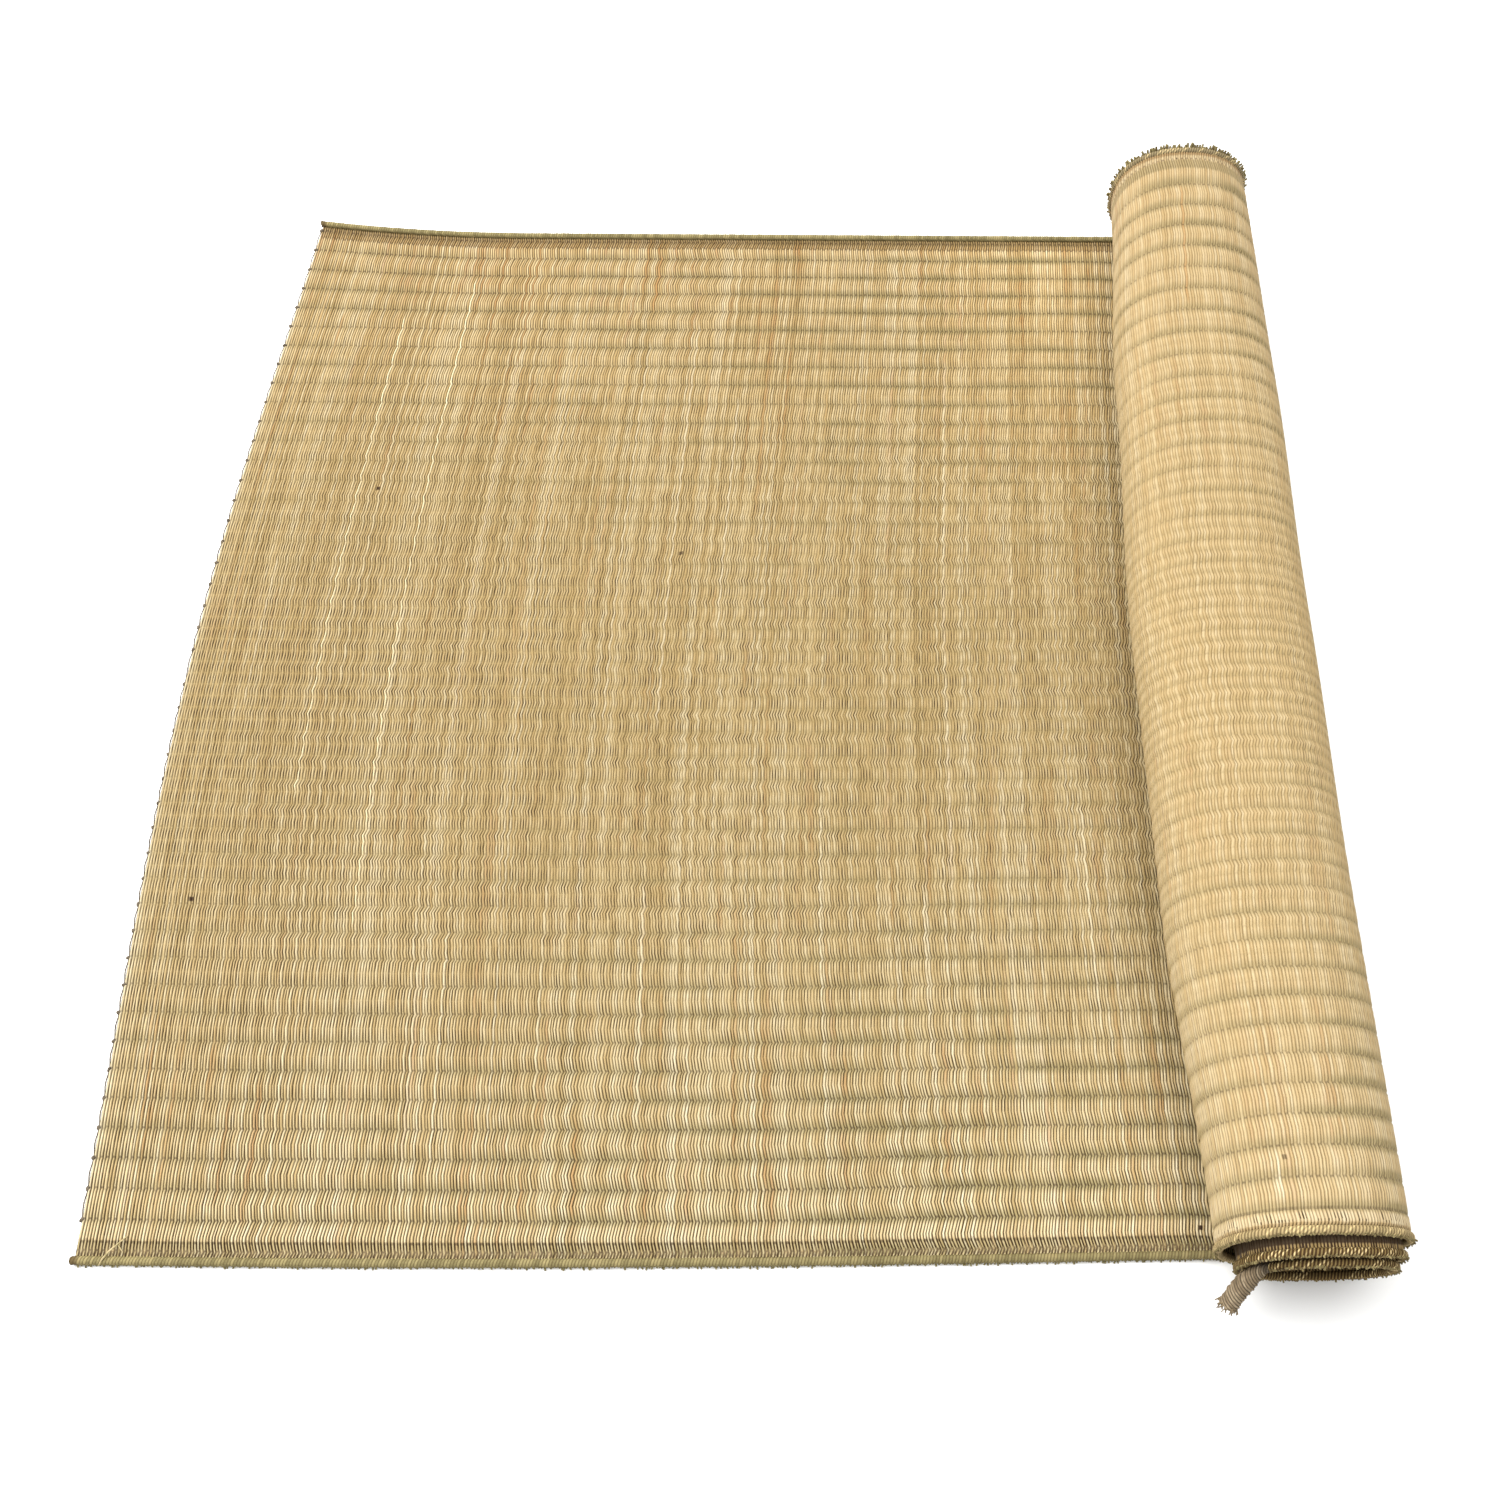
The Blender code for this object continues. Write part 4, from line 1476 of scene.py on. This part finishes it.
class GRASSMAT_OT_tie_ends(bpy.types.Operator):
    """Tie the rows' threads off along the mat's two short ends"""

    bl_idname = "grass_mat.tie_ends"
    bl_label = "Tie the short ends"

    def execute(self, context):
        sizes = context.scene.grass_mat_sizes
        colours = context.scene.grass_mat_colours
        material = fibre_material("end_thread", colours.thread_dark, colours.thread_light, 0.8)
        tree = tied_thread_tree()
        for name, end, seed in (("free_end_thread", 0, 5), ("inner_end_thread", -1, 6)):
            points = end_thread_points(end, sizes.thread_radius)
            curve = curve_object(name, points, [1.0] * len(points))
            piece = run_group(curve, tree, {
                "Thread radius": sizes.thread_radius, "Knot radius": sizes.knot_radius,
                "Seed": seed, "Material": material,
            })
            finish_piece(piece, "wrapped_fibre")
        return {"FINISHED"}


class GRASSMAT_OT_wrap_tail(bpy.types.Operator):
    """Wrap the loose cord end and fray its tip"""

    bl_idname = "grass_mat.wrap_tail"
    bl_label = "Wrap the loose cord end"

    def execute(self, context):
        sizes = context.scene.grass_mat_sizes
        colours = context.scene.grass_mat_colours
        points, radii = tail_route()
        tones = [(0.2, colours.fibre_dark), (0.5, colours.thread_worn), (0.8, colours.fibre_worn)]
        pitch = sizes.tail_wrap_pitch
        material = wrap_material(
            "wrapped_fibre", tones, colours.thread_dark, pitch, TAIL_SLANT, 0.9)
        curve = curve_object("tail_wraps", points, radii)
        piece = run_group(curve, wrapped_cord_tree(), {
            "Sides": 60, "Wrap pitch": pitch, "Wrap depth": 0.0013, "Slant": TAIL_SLANT,
            "Uneven": 0.0009, "Steps a wrap": 6.0, "Seed": 4.0, "Material": material,
        })
        finish_piece(piece, "wrapped_fibre", "cord_tail")
        places, leanings = tail_tip_fibres(points, radii)
        loose = fibre_material("tail_fibres", colours.fibre_dark, colours.fibre_light, 0.9)
        piece = run_group(point_mesh("tail_tip_fibres", places, leanings), frayed_ends_tree(), {
            "Length": 0.0070, "Thickness": 0.0013, "Scatter": 0.0009, "Splay": 0.55,
            "Sides": 4, "Seed": 80, "Material": loose,
        })
        finish_piece(piece, "wrapped_fibre")
        return {"FINISHED"}


class GRASSMAT_OT_lay_loose_stem(bpy.types.Operator):
    """Lay the loose stem over the near corner of the free end"""

    bl_idname = "grass_mat.lay_loose_stem"
    bl_label = "Lay the loose stem"

    def execute(self, context):
        colours = context.scene.grass_mat_colours
        material = fibre_material("loose_grass", colours.edge_light, colours.pale, 0.6)
        tree = wrapped_cord_tree()
        for name, rows in (("loose_stem", LOOSE_STEM), ("loose_twig", LOOSE_TWIG)):
            points = [SHIFT + Vector((row["x"], row["y"], row["z"])) for row in rows]
            curve = curve_object(name, points, [row["radius"] for row in rows])
            piece = run_group(curve, tree, {
                "Sides": 8, "Wrap pitch": 0.004, "Wrap depth": 0.0, "Slant": 0.0,
                "Uneven": 0.0001, "Steps a wrap": 4.0, "Seed": 2.0, "Material": material,
            })
            finish_piece(piece, "edge_grass")
        return {"FINISHED"}


class GRASSMAT_OT_set_stage(bpy.types.Operator):
    """Set the pale floor, the soft lights and the camera"""

    bl_idname = "grass_mat.set_stage"
    bl_label = "Set the stage"

    def execute(self, context):
        stage = context.scene.grass_mat_stage
        context.scene.view_settings.view_transform = "Standard"
        build_floor(stage.floor_colour)
        build_sky(stage.sky)
        middle = (CAD_LOW + CAD_HIGH) / 2
        for row in LIGHTS:
            power = getattr(stage, row["power"])
            add_light(row["name"], Vector(row["offset"]), middle, row["size"], power)
        camera = link_object("camera", bpy.data.cameras.new("camera"))
        camera.location = Vector((CAD_LOW.x, CAD_LOW.y, 0)) + CAMERA_FROM_CORNER
        camera.rotation_euler = (CAMERA_TILT, 0, 0)
        camera.data.lens = CAMERA_LENS
        camera.data.sensor_width = CAMERA_SENSOR
        camera.data.shift_x = CAMERA_SHIFT
        context.scene.camera = camera
        return {"FINISHED"}


def spread_along(points, normals, spacing):
    """Places at an even spacing along a route, each with the route's normal there."""
    places = []
    left_over = spacing
    for a, b, normal in zip(points, points[1:], normals):
        length = (b - a).length
        while left_over <= length:
            places.append((a.lerp(b, left_over / length), normal))
            left_over += spacing
        left_over -= length
    return places


def end_thread_points(end, thread_radius):
    """Route of an end's thread: on the mat's end at each strong row, slack between two rows."""
    points = []
    for step in range(2 * ceil(row_number(MAT_WIDTH - EDGE_INSET))):
        row = step / 2 if step / 2 < FAR_ZONE_START else step / 2 + 0.5
        across = (row_place(row) - EDGE_INSET) / (MAT_WIDTH - 2 * EDGE_INSET)
        if not 0 <= across <= 1:
            continue
        section = mat_section(across, EDGE_INSET)
        last, before = (section[0], section[1]) if end == 0 else (section[-1], section[-2])
        away = (last - before).normalized()
        slack = thread_radius * (0.6 if step % 2 == 0 else 3.0)
        points.append(last + away * slack)
    return points


def tail_route():
    """Points and radii of the loose end, as the part's source has them, at a finer step."""
    cord = edge_cord_points(0.0)[0]
    heading = (cord[-1] - cord[-4]).normalized()
    root = cord[-1] + heading * PIECE_GAP
    start = root + heading * TAIL_NECK_LENGTH
    end = root + TAIL_REACH
    bend = start + heading * TAIL_LEAD
    points, radii = [root], [TAIL_NECK_RADIUS]
    for i in range(TAIL_STEPS + 1):
        part = i / TAIL_STEPS
        points.append(start * (1 - part) ** 2 + bend * 2 * part * (1 - part) + end * part ** 2)
        swell = min(1.0, part / TAIL_SWELL)
        radii.append(TAIL_NECK_RADIUS + (TAIL_RADIUS - TAIL_NECK_RADIUS) * swell)
    return points, radii


def tail_tip_fibres(points, radii):
    """Places and directions of the fibres that spread from the loose end's tip."""
    heading = (points[-1] - points[-2]).normalized()
    side = heading.orthogonal().normalized()
    other = heading.cross(side)
    places, leanings = [], []
    for ring in TIP_RINGS:
        share, count = ring["share"], ring["count"]
        for i in range(count):
            angle = 2 * pi * (i + share) / count
            radial = side * cos(angle) + other * sin(angle)
            places.append(points[-1] - heading * TIP_ROOT_DEPTH + radial * share * radii[-1])
            leanings.append(heading + radial * share * TIP_SPREAD)
    return places, leanings


def build_floor(colour):
    """The pale floor, which isn't part of the mat."""
    mesh = bpy.data.meshes.new("floor")
    corners = ((-1, -1), (1, -1), (1, 1), (-1, 1))
    mesh.from_pydata([(x * FLOOR_HALF, y * FLOOR_HALF, 0) for x, y in corners], [], [(0, 1, 2, 3)])
    ground = link_object("floor", mesh)
    material, graph, shader = new_material("pale_floor")
    place = graph.out("ShaderNodeTexCoord", output="Object")
    x, y, z = graph.parts(place)
    grain = graph.noise(x * 3, y * 3, z, detail=2.0)
    darker = tuple(part * 0.985 for part in colour)
    graph.feed(shader.inputs["Base Color"], ramp(graph, grain, [(0.3, darker), (0.7, colour)]))
    shader.inputs["Roughness"].default_value = 0.9
    shader.inputs["Specular IOR Level"].default_value = 0.0
    mesh.materials.append(material)


def build_sky(strength):
    """Even white light from all round."""
    world = bpy.data.worlds.new("studio")
    world.use_nodes = True
    background = world.node_tree.nodes["Background"]
    background.inputs["Color"].default_value = (1.0, 1.0, 1.0, 1.0)
    background.inputs["Strength"].default_value = strength
    bpy.context.scene.world = world


def add_light(name, offset, target, size, power):
    """A square soft light at an offset from what it points at."""
    data = bpy.data.lights.new(name, "AREA")
    data.size = size
    data.energy = power
    light = link_object(name, data)
    light.location = target + offset
    light.rotation_mode = "QUATERNION"
    light.rotation_quaternion = (-offset).to_track_quat("-Z", "Y")


class GRASSMAT_PT_panel(bpy.types.Panel):
    """Sizes, colours and builders of the grass mat"""

    bl_label = "Grass mat"
    bl_idname = "GRASSMAT_PT_panel"
    bl_space_type = "VIEW_3D"
    bl_region_type = "UI"
    bl_category = "Grass Mat"

    def draw(self, context):
        for name in SETTINGS:
            box = self.layout.box()
            group = getattr(context.scene, name)
            for prop in group.bl_rna.properties:
                if prop.identifier not in ("rna_type", "name"):
                    box.prop(group, prop.identifier)
        for operator in OPERATORS:
            self.layout.operator(operator.bl_idname)


SETTINGS = {
    "grass_mat_sizes": GrassMatSizes,
    "grass_mat_colours": GrassMatColours,
    "grass_mat_stage": GrassMatStage,
}
OPERATORS = (
    GRASSMAT_OT_weave_sheet,
    GRASSMAT_OT_wrap_edges,
    GRASSMAT_OT_fray_edges,
    GRASSMAT_OT_tie_ends,
    GRASSMAT_OT_wrap_tail,
    GRASSMAT_OT_lay_loose_stem,
    GRASSMAT_OT_set_stage,
)
CLASSES = (*SETTINGS.values(), *OPERATORS, GRASSMAT_PT_panel)


def register():
    """Makes the settings, operators and panel known."""
    for cls in CLASSES:
        bpy.utils.register_class(cls)
    for name, group in SETTINGS.items():
        setattr(bpy.types.Scene, name, PointerProperty(type=group))


def unregister():
    """Takes them away again."""
    for name in SETTINGS:
        delattr(bpy.types.Scene, name)
    for cls in reversed(CLASSES):
        bpy.utils.unregister_class(cls)


def main():
    """Builds the whole mat."""
    register()
    bpy.ops.grass_mat.weave_sheet()
    bpy.ops.grass_mat.wrap_edges()
    bpy.ops.grass_mat.fray_edges()
    bpy.ops.grass_mat.tie_ends()
    bpy.ops.grass_mat.wrap_tail()
    bpy.ops.grass_mat.lay_loose_stem()
    bpy.ops.grass_mat.set_stage()


if __name__ == "__main__":
    main()
